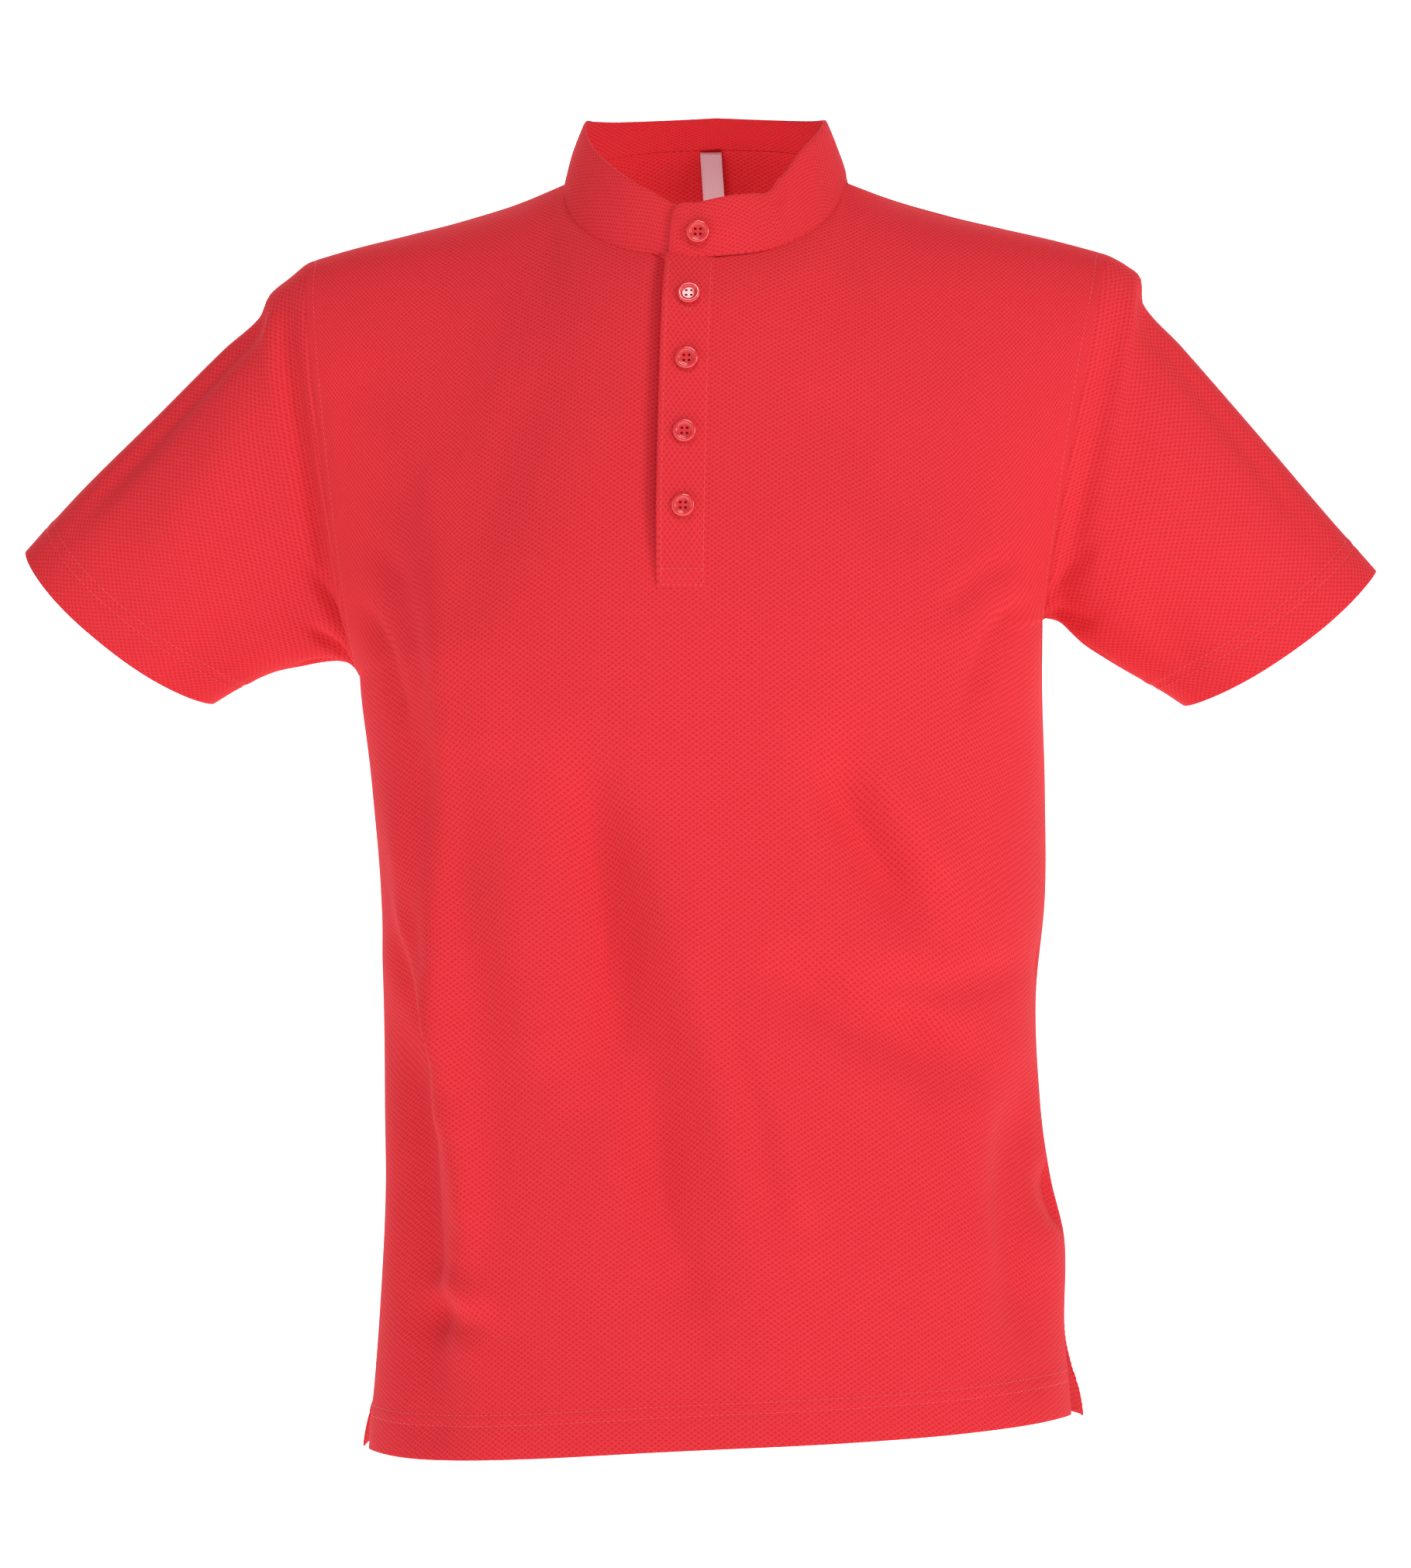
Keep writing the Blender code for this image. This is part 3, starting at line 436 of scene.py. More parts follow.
def plain_torso(side, s, v):
    """A panel without folds: v runs from 0 at the hem over 1 at the armpits to 2 at the top."""
    s, v = np.broadcast_arrays(np.asarray(s, dtype=float), np.asarray(v, dtype=float))
    hem = hem_z(side, s)
    lower = ring_point(side, s, blend(hem, armpit_z(s), np.minimum(v, 1.0)))
    opening = (1.0 - ease(lower[..., 2], hem, hem + VENT)) * ease(np.abs(s), 0.75, 1.0)
    if side < 0:
        lower[..., 1] -= VENT_FRONT_OPENING * opening
    else:
        lower[..., 0] += np.sign(s) * VENT_BACK_OPENING * opening
        lower[..., 1] += VENT_BACK_OPENING * 0.5 * opening
    reach = YOKE_SPREAD * ease(v, 1.0, 1.4) * (1.0 - ease(v, 1.50, 2.0))
    t = np.clip(v - 1.0, 0.0, 1.0)
    upper = np.zeros_like(lower)
    for shift, share in ((-2.0, 0.125), (-1.0, 0.225), (0.0, 0.3), (1.0, 0.225), (2.0, 0.125)):
        upper += yoke_point(side, np.clip(s + shift * reach, -1.0, 1.0), t) * share
    return np.where((v <= 1.0)[..., None], lower, upper)


def torso(side, s, v):
    """A panel with its armholes, before the folds."""
    s, v = np.broadcast_arrays(np.asarray(s, dtype=float), np.asarray(v, dtype=float))
    point = plain_torso(side, s, v)
    for sign, table in ((-1.0, RIGHT_ARM), (1.0, LEFT_ARM)):
        up = np.clip(v - 1.0, 0.0, 1.0) ** 0.92
        armhole = arm_point(table, 0.0, -side * math.pi * up)
        pull = armhole - plain_torso(side, np.full_like(s, sign), v)
        share = ease(np.abs(s), 0.45, 1.0) * (v > 1.0) * (np.sign(s) == sign)
        point = point + pull * share[..., None]
    point[..., 1] += side * SEAM_SHIFT
    return point


def fold_height(folds, x, z):
    """How far the folds lift the cloth at points seen from the front."""
    total = np.zeros(np.broadcast(x, z).shape)
    for fold in folds:
        best = np.full(total.shape, 9.0)
        along = np.zeros(total.shape)
        for ax, az, bx, bz, start in ((fold.x0, fold.z0, fold.x1, fold.z1, 0.0),
                                      (fold.x1, fold.z1, fold.x2, fold.z2, 0.5)):
            dx, dz = bx - ax, bz - az
            t = np.clip(((x - ax) * dx + (z - az) * dz) / (dx * dx + dz * dz), 0.0, 1.0)
            gap = np.hypot(x - ax - t * dx, z - az - t * dz)
            nearer = gap < best
            best = np.where(nearer, gap, best)
            along = np.where(nearer, start + t * 0.5, along)
        ends = ease(along, 0.0, 0.35) * (1.0 - ease(along, 0.75, 1.0) * 0.7)
        total += fold.height * ends * bell(best, fold.width)
    return total


def ripple(a, b, seed):
    """A soft uneven wave between -1 and 1, made of three crossing waves."""
    return (np.sin(a * 1.0 + b * 0.37 + seed) + np.sin(a * -0.61 + b * 1.13 + seed * 2.3)
            + np.sin(a * 1.71 + b * 0.83 + seed * 4.1) * 0.6) / 2.6


HEM_ROWS = (0.0190, 0.0250)
SEAM_ROLL = 0.0004
SEAM_ROLL_WIDTH = 0.0018
TOPSTITCH = 0.0045


def hem_form(distance, along, seed):
    """The doubled hem: a slight step at its inner edge, dimples at the two rows and small puckers."""
    step = 0.00035 * (1.0 - ease(distance, HEM_ROWS[1] - 0.0005, HEM_ROWS[1] + 0.0025))
    rows = sum(bell(distance - row, 0.0011) for row in HEM_ROWS)
    puckers = 0.00030 * ripple(along / 0.0021, distance / 0.006, seed)
    near = bell(distance - 0.022, 0.010)
    return step - 0.00030 * rows + puckers * near


def panel(side, s, v):
    """Points and outward normals of a panel's finished middle surface."""
    s, v = np.broadcast_arrays(np.asarray(s, dtype=float), np.asarray(v, dtype=float))
    point = torso(side, s, v)
    step = 0.01
    along = torso(side, np.minimum(s + step, 1.0), v) - torso(side, np.maximum(s - step, -1.0), v)
    up = torso(side, s, np.minimum(v + step, 2.0)) - torso(side, s, np.maximum(v - step, 0.0))
    outward = unit(np.cross(up, along)) * side
    wide = np.linalg.norm(along, axis=-1) / (np.minimum(s + step, 1.0) - np.maximum(s - step, -1.0))
    tall = np.linalg.norm(up, axis=-1) / (np.minimum(v + step, 2.0) - np.maximum(v - step, 0.0))
    x, z = point[..., 0], point[..., 2]
    calm = (1.0 - ease(np.abs(s), FOLD_EDGE - 0.1, 1.0)) * (1.0 - ease(v, 1.7, 1.95))
    height = fold_height(FRONT_FOLDS if side < 0 else BACK_FOLDS, x, z) * calm * FOLD_GAIN
    fine_calm = (1.0 - ease(np.abs(s), 0.97, 1.0)) * (1.0 - ease(v, 1.9, 1.99))
    height += fold_height(FRONT_CREASES if side < 0 else BACK_CREASES, x, z) * fine_calm * CREASE_GAIN
    height += 0.0005 * ripple(x / 0.020, z / 0.034, 1.0 + side) * fine_calm
    hem = z - hem_z(side, s)
    height += hem_form(hem, x, 3.0 + side)
    seam = np.minimum((1.0 - np.abs(s)) * wide, (2.0 - v) * tall + 1.0 * (v < 1.2))
    vent = ease(hem, VENT - 0.004, VENT + 0.002)
    height -= SEAM_ROLL * bell(seam, SEAM_ROLL_WIDTH) * np.maximum(vent, 0.25)
    armhole = (1.0 - np.abs(s)) * wide
    height -= 0.00030 * bell(armhole - TOPSTITCH, 0.0010) * ease(v, 1.0, 1.04)
    return point + outward * height[..., None], outward


def sleeve(table, at, angle):
    """Points and outward normals of a sleeve's finished middle surface."""
    at, angle = np.broadcast_arrays(np.asarray(at, dtype=float), np.asarray(angle, dtype=float))

    def base(share, turn):
        return arm_point(table, share ** 1.25, turn)
    point = base(at, angle)
    step = 0.004
    along = base(np.minimum(at + step, 1.0), angle) - base(np.maximum(at - step, 0.0), angle)
    reach = np.minimum(at + step, 1.0) - np.maximum(at - step, 0.0)
    tall = np.linalg.norm(along, axis=-1) / reach
    around = base(at, angle + 0.02) - base(at, angle - 0.02)
    side = 1.0 if table is LEFT_ARM else -1.0
    outward = unit(np.cross(along, around)) * side
    turns = (angle / (2.0 * math.pi)) % 1.0
    height = np.zeros(at.shape)
    for crease in SLEEVE_CREASES:
        shifted = (crease.turn0 + crease.turn1) / 2.0
        turn = (turns - shifted + 0.5) % 1.0 - 0.5 + shifted
        da, dt = crease.at1 - crease.at0, crease.turn1 - crease.turn0
        t = np.clip(((at - crease.at0) * da + (turn - crease.turn0) * dt) / (da * da + dt * dt), 0.0, 1.0)
        gap = np.hypot((at - crease.at0 - t * da) * 0.6, (turn - crease.turn0 - t * dt))
        height += crease.height * bell(gap, crease.width) * ease(t, -0.2, 0.3) * (1.0 - ease(t, 0.6, 1.1))
    height *= ease(at, 0.0, 0.08) * (RIGHT_SLEEVE_GAIN if table is RIGHT_ARM else LEFT_SLEEVE_GAIN)
    height += 0.0004 * ripple(turns * 21.0, at * 6.0, 2.0 + side) * ease(at, 0.02, 0.1)
    cuff = (1.0 - at) * tall
    height += hem_form(cuff, turns * 0.34, 5.0 + side)
    height -= SEAM_ROLL * bell(at * tall, SEAM_ROLL_WIDTH)
    return point + outward * height[..., None], outward


def band_edge(turn):
    """The band's upper edge: turn falls from the hidden end, wearer's right first, to the shown end."""
    points = loop_point(BAND_TOP, turn)
    right, left = read(BAND_RISE_RIGHT, -turn, "z"), read(BAND_RISE_LEFT, turn + 360.0, "z")
    points[..., 2] = np.where(turn > -180.0, right, left)
    return points


def band(turn, up):
    """Points, outward normals and upward ways of the collar band's middle surface."""
    turn, up = np.broadcast_arrays(np.asarray(turn, dtype=float), np.asarray(up, dtype=float))
    low, high = loop_point(NECK_LOOP, turn), band_edge(turn)
    tall = np.linalg.norm(high - low, axis=-1)
    shown = (turn - BAND_TURNS[1]) * math.radians(1.0) * abs(NECK_LOOP.front_y)

    def rounding(radius):
        inside = np.clip(radius - shown, 0.0, radius)
        return radius - np.sqrt(radius ** 2 - inside ** 2)
    bottom = rounding(TAB_LOW_CORNER) - BAND_OVERLAP
    top = tall - rounding(TAB_CORNER)
    share = blend(bottom, top, up) / tall
    angle = np.radians(turn)
    flat = stack(np.sin(angle), -np.cos(angle), np.zeros_like(angle))
    end = BAND_TURNS[1] + BAND_LIFT_START
    lift = BAND_LIFT * (1.0 - ease(turn, end, end + BAND_LIFT_TURN))
    belly = 0.0010 * np.sin(math.pi * np.clip(up, 0.0, 1.0))
    bend = BAND_CREASE_TURN - 2.2 * np.sin(up * 5.0)
    pinch = bell(turn - bend, BAND_CREASE_WIDTH) * ease(up, 0.42, 0.80)
    swell = bell(turn - bend - 4.0, 3.0) * ease(up, 0.35, 0.80) * 0.5
    soft = 0.0006 * ripple(turn / 11.0, up * 2.0, 9.0) * ease(up, 0.1, 0.5)
    rise = unit(high - low)
    out = lift + belly + soft - BAND_CREASE_DEPTH * (pinch - swell)
    return low + (high - low) * share[..., None] + flat * out[..., None], flat, rise


def hex_colour(code):
    """A linear colour from an sRGB hex code."""
    parts = [int(code[index:index + 2], 16) / 255.0 for index in (1, 3, 5)]
    linear = [part / 12.92 if part <= 0.04045 else ((part + 0.055) / 1.055) ** 2.4 for part in parts]
    return (*linear, 1.0)


def add_node(tree, kind, settings=None, **links):
    """One node with its settings, its sockets set by value or linked from other sockets."""
    node = tree.nodes.new(kind)
    for name, value in (settings or {}).items():
        setattr(node, name, value)
    for name, value in links.items():
        numbered = name[0] == "i" and name[1:].isdigit()
        socket = node.inputs[int(name[1:]) if numbered else name.replace("_", " ")]
        if isinstance(value, bpy.types.NodeSocket):
            tree.links.new(value, socket)
        else:
            socket.default_value = value
    return node


def new_material(name):
    made = bpy.data.materials.new(name)
    made.use_nodes = True
    tree = made.node_tree
    tree.nodes.clear()
    output = tree.nodes.new("ShaderNodeOutputMaterial")
    shader = tree.nodes.new("ShaderNodeBsdfPrincipled")
    tree.links.new(shader.outputs["BSDF"], output.inputs["Surface"])
    return made, tree, shader


def knit_material(name, light, pit_shade, across, up, depth):
    """Cotton pique: staggered pits in a net of soft yarn, the pits painted a darker red as painted shade on
    top of their bump. The cloth's UV map is in metres.
    """
    made, tree, shader = new_material(name)
    uv = add_node(tree, "ShaderNodeUVMap", {"uv_map": "cloth"})
    place = add_node(tree, "ShaderNodeTexCoord")
    drift = add_node(tree, "ShaderNodeTexNoise", Vector=place.outputs["Object"], Scale=170.0, Detail=1.0)
    pulled = add_node(tree, "ShaderNodeVectorMath", {"operation": "SCALE"},
                      Vector=drift.outputs["Color"], Scale=0.0010)
    uneven = add_node(tree, "ShaderNodeVectorMath", {"operation": "ADD"},
                      i0=uv.outputs["UV"], i1=pulled.outputs[0])
    apart = add_node(tree, "ShaderNodeSeparateXYZ", Vector=uneven.outputs[0])
    waves = []
    for axis, pitch in (("X", across), ("Y", up)):
        turns = add_node(tree, "ShaderNodeMath", {"operation": "MULTIPLY"},
                         i0=apart.outputs[axis], i1=2.0 * math.pi / pitch)
        waves.append(add_node(tree, "ShaderNodeMath", {"operation": "COSINE"}, i0=turns.outputs[0]))
    lattice = add_node(tree, "ShaderNodeMath", {"operation": "MULTIPLY"},
                       i0=waves[0].outputs[0], i1=waves[1].outputs[0])
    pits = add_node(tree, "ShaderNodeMapRange", {"interpolation_type": "SMOOTHSTEP"},
                    Value=lattice.outputs[0], From_Min=0.95, From_Max=-0.25)
    cloudy = add_node(tree, "ShaderNodeTexNoise", Vector=place.outputs["Object"], Scale=14.0, Detail=4.0)
    yarn = add_node(tree, "ShaderNodeTexNoise", Vector=place.outputs["Object"], Scale=1100.0, Detail=2.0)
    # The pits' darker red is painted shade: the hollows are coloured as if in shadow, besides the bump that
    # gives their real depth
    pit_shaded_yarn = add_node(tree, "ShaderNodeMix", {"data_type": "RGBA"}, i0=pits.outputs[0],
                    i6=hex_colour(pit_shade), i7=hex_colour(light))
    shift = add_node(tree, "ShaderNodeMapRange", Value=cloudy.outputs[0], To_Min=0.97, To_Max=1.03)
    fine = add_node(tree, "ShaderNodeMapRange", Value=yarn.outputs[0], To_Min=0.95, To_Max=1.05)
    both = add_node(tree, "ShaderNodeMath", {"operation": "MULTIPLY"},
                    i0=shift.outputs[0], i1=fine.outputs[0])
    toned = add_node(tree, "ShaderNodeHueSaturation", Value=both.outputs[0], Color=pit_shaded_yarn.outputs[2])
    height = add_node(tree, "ShaderNodeMath", {"operation": "MULTIPLY_ADD"},
                      i0=yarn.outputs[0], i1=0.35, i2=pits.outputs[0])
    bump = add_node(tree, "ShaderNodeBump", Strength=0.6, Distance=depth, Height=height.outputs[0])
    tree.links.new(toned.outputs[0], shader.inputs["Base Color"])
    tree.links.new(bump.outputs[0], shader.inputs["Normal"])
    shader.inputs["Roughness"].default_value = 0.9
    shader.inputs["Specular IOR Level"].default_value = 0.12
    shader.inputs["Sheen Weight"].default_value = 0.10
    shader.inputs["Sheen Roughness"].default_value = 0.45
    shader.inputs["Sheen Tint"].default_value = hex_colour("#ff8f92")
    return made


def simple_material(name, colour, roughness, sheen=0.0, coat=0.0, grain=0.0, grain_scale=800.0):
    made, tree, shader = new_material(name)
    place = add_node(tree, "ShaderNodeTexCoord")
    noise = add_node(tree, "ShaderNodeTexNoise", Vector=place.outputs["Object"],
                     Scale=grain_scale, Detail=2.0)
    shift = add_node(tree, "ShaderNodeMapRange", Value=noise.outputs[0], To_Min=0.95, To_Max=1.05)
    toned = add_node(tree, "ShaderNodeHueSaturation", Value=shift.outputs[0], Color=hex_colour(colour))
    tree.links.new(toned.outputs[0], shader.inputs["Base Color"])
    if grain > 0.0:
        bump = add_node(tree, "ShaderNodeBump", Strength=0.5, Distance=grain, Height=noise.outputs[0])
        tree.links.new(bump.outputs[0], shader.inputs["Normal"])
    shader.inputs["Roughness"].default_value = roughness
    shader.inputs["Sheen Weight"].default_value = sheen
    shader.inputs["Coat Weight"].default_value = coat
    shader.inputs["Coat Roughness"].default_value = 0.05
    return made


# How much of the cloth's turn over the shoulder counts towards its length upwards
GRAIN_TILT = 0.5


def flat_lengths(points, chest):
    """Lengths along the cloth: across from the middle column and up.

    On a panel the knit keeps upright above its chest row. A sleeve or a strip has no chest row: its
    knit is as wide on every row, and its lengths up start at its last row.
    """
    across = np.linalg.norm(np.diff(points, axis=1), axis=-1)
    up = np.linalg.norm(np.diff(points, axis=0), axis=-1)
    across = np.concatenate([np.zeros((points.shape[0], 1)), np.cumsum(across, axis=1)], axis=1)
    across -= across[:, points.shape[1] // 2][:, None]
    up = np.concatenate([np.zeros((1, points.shape[1])), np.cumsum(up, axis=0)], axis=0)
    if chest is None:
        round_length = across[:, -1:] - across[:, :1]
        across *= round_length.mean() / round_length
        up -= up[-1:]
    else:
        across[chest:] = points[chest:, :, 0] - points[chest, :, 0] + across[chest]
        up = points[..., 2] - np.abs(points[..., 1]) * GRAIN_TILT
    return np.stack([across, up], axis=-1)


def grid_bmesh(points, chest=None):
    """A grid whose points lie where the array says, with its lengths along the cloth as its UV map."""
    rows, columns = points.shape[0] - 1, points.shape[1] - 1
    bm = bmesh.new()
    bmesh.ops.create_grid(bm, x_segments=columns, y_segments=rows, size=0.5)
    lengths = flat_lengths(points, chest)
    bm.verts.index_update()
    spots = []
    for vert in bm.verts:
        spot = (round((vert.co.y + 0.5) * rows), round((vert.co.x + 0.5) * columns))
        spots.append(spot)
        vert.co = points[spot]
    layer = bm.loops.layers.uv.new("cloth")
    for face in bm.faces:
        for corner in face.loops:
            corner[layer].uv = lengths[spots[corner.vert.index]]
    return bm


def new_mesh(bm, name):
    mesh = bpy.data.meshes.new(name)
    bm.to_mesh(mesh)
    bm.free()
    return mesh


def new_object(name, mesh):
    made = bpy.data.objects.new(name, mesh)
    bpy.context.scene.collection.objects.link(made)
    return made


def ride_along(mesh, name, material):
    """A smooth piece that rides on the shirt's body."""
    mesh.shade_smooth()
    mesh.materials.append(material)
    piece = new_object(name, mesh)
    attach(piece, ROOT)
    return piece


def finish_piece(bm, name, material, node):
    """A piece that takes the place of one of the shirt's solids."""
    piece = ride_along(new_mesh(bm, name), name, material)
    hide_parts(node)
    return piece


def wall(piece, thickness):
    """Give an open sheet its thickness."""
    made = piece.modifiers.new("wall", "SOLIDIFY")
    made.thickness = thickness
    made.offset = 0.0
    made.use_even_offset = False


def turn_outwards(bm, heart):
    """Flip an open sheet whose faces point at its heart."""
    bm.normal_update()
    inward = sum(1 if face.normal.dot(face.calc_center_median() - heart) < 0.0 else -1
                 for face in bm.faces if face.index % 7 == 0)
    if inward > 0:
        bmesh.ops.reverse_faces(bm, faces=bm.faces)


def crowded(count, edge, ends=(True, True)):
    """Shares from 0 to 1 with three extra lines close to each chosen end, edge apart."""
    shares = list(np.linspace(0.0, 1.0, count + 1))
    extra = [edge * step for step in (1.0, 2.0, 3.2)]
    if ends[0]:
        shares += extra
    if ends[1]:
        shares += [1.0 - step for step in extra]
    return np.array(sorted(shares))


def hem_shares(tall):
    """Close rows through a hem of the cloth, as shares of its height."""
    return [distance / tall for distance in np.arange(0.0012, 0.0300, 0.0014)]


def parted(shares, least):
    """The shares in order, without any that lies closer than the least gap to the one before."""
    kept = []
    for share in sorted(shares):
        if not kept or share - kept[-1] >= least:
            kept.append(share)
    kept[-1] = max(shares)
    return np.array(kept)


def metres(name, description, default):
    return FloatProperty(name=name, description=description, default=default, unit="LENGTH")


class ClothSettings(bpy.types.PropertyGroup):
    light: StringProperty(name="Yarn", description="Colour of the yarn", default="#e0343c")
    # The pits' colour is painted shade: a darker red standing in for the shadow in the knit's hollows
    pit_shade: StringProperty(name="Pits", description="Colour in the knit's pits", default="#c92733")
    thickness: metres("Thickness", "Thickness of the knit", 0.0011)
    # The real pits are 1.9 mm apart in a row and 0.7 mm from row to row, too fine to show; they are
    # drawn twice as coarse
    across: metres("Pitch across", "Distance between pits in a row", 0.0040)
    up: metres("Pitch up", "Distance between every other row of pits", 0.0029)
    band_up: metres("Band pitch up", "The same on the collar band", 0.0024)
    depth: metres("Depth", "Depth of the pits", 0.00022)


class StitchSettings(bpy.types.PropertyGroup):
    colour: StringProperty(name="Thread", description="Colour of the thread", default="#e6444b")
    pitch: metres("Pitch", "Distance from stitch to stitch", 0.0030)
    length: metres("Length", "Length that shows of a stitch", 0.0023)
    radius: metres("Radius", "Radius of the thread", 0.00022)


class ButtonSettings(bpy.types.PropertyGroup):
    colour: StringProperty(name="Resin", description="Colour of the resin", default="#dd3138")
    radius: metres("Radius", "Radius of a button", 0.0063)
    thickness: metres("Thickness", "Height of its rim", 0.0028)


class LabelSettings(bpy.types.PropertyGroup):
    colour: StringProperty(name="Satin", description="Colour of the label", default="#e3d3db")


def knit(finer=False):
    """The shirt's knit, made once for all its pieces, and once more with closer rows for the band."""
    name = "fine_cotton_pique" if finer else "cotton_pique"
    known = bpy.data.materials.get(name)
    if known:
        return known
    cloth = bpy.context.scene.polo_cloth
    up = cloth.band_up if finer else cloth.up
    return knit_material(name, cloth.light, cloth.pit_shade, cloth.across, up, cloth.depth)


# Each panel's piece, solid, side and cut, and the share of the cut's rectangle that it fills
PANELS = (("front", "front_panel", -1, (0.55, 0.74)), ("back", "back_panel", 1, (0.54, 0.78)))
PANEL_ACROSS = 150
PANEL_UP = 170
LEAST_ROW = 0.0005
EDGE_ROW = 0.0010
SLIT_INSET = 0.0030
SLIT_MARGIN = 0.012


def panel_grid(side):
    """The panel's grid: close rows at the hem and the top, close columns at the seams."""
    across = crowded(PANEL_ACROSS, EDGE_ROW / 0.27 / 2.0) * 2.0 - 1.0
    tall = -hem_z(side, np.array(0.0)) - 0.26
    lower = parted({*np.linspace(0.0, 1.0, PANEL_UP * 5 // 8 + 1), *hem_shares(tall)}, LEAST_ROW / tall)
    upper = 1.0 + crowded(PANEL_UP * 3 // 8, EDGE_ROW / 0.25, (False, True))
    return np.meshgrid(across, np.concatenate([lower, upper[1:]]))


class POLO_OT_panels(bpy.types.Operator):
    """Make the front and the back"""
    bl_idname = "polo.panels"
    bl_label = "Front and back"

    def execute(self, context):
        cloth = context.scene.polo_cloth
        for name, node, side, flat in PANELS:
            s, v = panel_grid(side)
            points, outward = panel(side, s, v)
            if side < 0:
                points -= outward * groove(points)[..., None]
            bm = grid_bmesh(points, chest=int(np.argmax(v[:, 0] >= 1.0)))
            if side < 0:
                open_slit(bm)
            turn_outwards(bm, Vector((0.0, 0.0, -0.4)))
            piece = finish_piece(bm, name, knit(), node)
            wall(piece, cloth.thickness)
        return {"FINISHED"}


def groove(points):
    """How far the front's own edge sinks beside the placket's open edge."""
    edge = PLACKET_MIDDLE - PLACKET_WIDTH / 2.0
    x, z = points[..., 0], points[..., 2]
    away = np.clip(edge + 0.002 - x, 0.0, 1.0)
    down = ease(z, PLACKET_LOW - 0.004, PLACKET_LOW + 0.06)
    return GROOVE_DEPTH * bell(away, GROOVE_WIDTH) * down * (x < PLACKET_MIDDLE) * (points[..., 1] < 0.0)


def open_slit(bm):
    """Cut the front open where the placket is let in."""
    left = PLACKET_MIDDLE - PLACKET_WIDTH / 2.0 + SLIT_INSET
    right = PLACKET_MIDDLE + PLACKET_WIDTH / 2.0 - SLIT_INSET
    low = PLACKET_LOW + SLIT_INSET

    def near(face):
        place = face.calc_center_median()
        beside = left - SLIT_MARGIN < place.x < right + SLIT_MARGIN
        return beside and place.z > low - SLIT_MARGIN
    for co, no in (((left, 0, 0), (1, 0, 0)), ((right, 0, 0), (1, 0, 0)), ((0, 0, low), (0, 0, 1))):
        faces = [face for face in bm.faces if near(face)]
        edges = {edge for face in faces for edge in face.edges}
        verts = {vert for face in faces for vert in face.verts}
        bmesh.ops.bisect_plane(bm, geom=[*verts, *edges, *faces], plane_co=co, plane_no=no, dist=1e-6)
    gone = [face for face in bm.faces
            if left < face.calc_center_median().x < right and face.calc_center_median().z > low]
    bmesh.ops.delete(bm, geom=gone, context="FACES")


# A sleeve: its length from crown to edge, its rows along and round it, and how far its crown is pulled back
# towards the body
SLEEVE_TALL = 0.20
SLEEVE_UP = 58
SLEEVE_AROUND = 144
SLEEVE_CLEARANCE = 0.0004


class POLO_OT_sleeves(bpy.types.Operator):
    """Make both sleeves"""
    bl_idname = "polo.sleeves"
    bl_label = "Sleeves"

    def execute(self, context):
        cloth = context.scene.polo_cloth
        for name, table in (("sleeve_right", RIGHT_ARM), ("sleeve_left", LEFT_ARM)):
            along = parted({*crowded(SLEEVE_UP, EDGE_ROW / SLEEVE_TALL, (True, False)),
                            *(1.0 - share for share in hem_shares(SLEEVE_TALL))}, LEAST_ROW / SLEEVE_TALL)
            angle = np.linspace(0.0, 2.0 * math.pi, SLEEVE_AROUND + 1)
            around, at = np.meshgrid(angle, along)
            points, _ = sleeve(table, at, around)
            start, ahead = arm_point(table, 0.0, angle), arm_point(table, 0.06, angle)
            points -= (unit(ahead - start) * SLEEVE_CLEARANCE)[None] * ((1.0 - at) ** 6)[..., None]
            points[:, -1] = points[:, 0]
            bm = grid_bmesh(points)
            bmesh.ops.remove_doubles(bm, verts=bm.verts, dist=1e-6)
            side = 1.0 if table is LEFT_ARM else -1.0
            turn_outwards(bm, Vector((side * 0.28, 0.0, -0.21)))
            piece = finish_piece(bm, name + "_knit", knit(), name)
            wall(piece, cloth.thickness)
        return {"FINISHED"}


def stadium(count, caps):
    """A wall's rounded section: shares up the wall, sides and bulges past its ends."""
    rows = []
    for share in np.linspace(0.0, 1.0, count):
        rows.append((share, 1.0, 0.0))
    for angle in np.linspace(0.0, math.pi, caps + 2)[1:-1]:
        rows.append((1.0, math.cos(angle), math.sin(angle)))
    for share in np.linspace(1.0, 0.0, count):
        rows.append((share, -1.0, 0.0))
    for angle in np.linspace(math.pi, 2.0 * math.pi, caps + 2)[1:-1]:
        rows.append((0.0, math.cos(angle), math.sin(angle)))
    rows.append(rows[0])
    return np.array(rows)


def rounded_strip(middle, along, half, count, caps):
    """A strip with soft edges: middle(along, up) gives its points, outward and upward ways."""
    section = stadium(count, caps)
    u, up = np.meshgrid(along, section[:, 0])
    point, outward, rise = middle(u, up)
    thick = half(u, up) if callable(half) else np.full(u.shape, half)
    sides, bulge = section[:, 1][:, None], section[:, 2][:, None]
    low_end, high_end = (section[:, 0] == 0.0)[:, None], (section[:, 0] == 1.0)[:, None]
    pull = (low_end * 1.0 - high_end * 1.0) * thick
    points = point + outward * (sides * thick)[..., None] + rise * (bulge * thick + pull)[..., None]
    points[-1] = points[0]
    bm = grid_bmesh(points)
    bmesh.ops.remove_doubles(bm, verts=bm.verts, dist=1e-6)
    bmesh.ops.holes_fill(bm, edges=[edge for edge in bm.edges if edge.is_boundary], sides=0)
    bmesh.ops.recalc_face_normals(bm, faces=bm.faces)
    return bm


BAND_HALF_WALL = 0.0011
BAND_THINNEST = 0.0003
BAND_RADIUS = 0.076


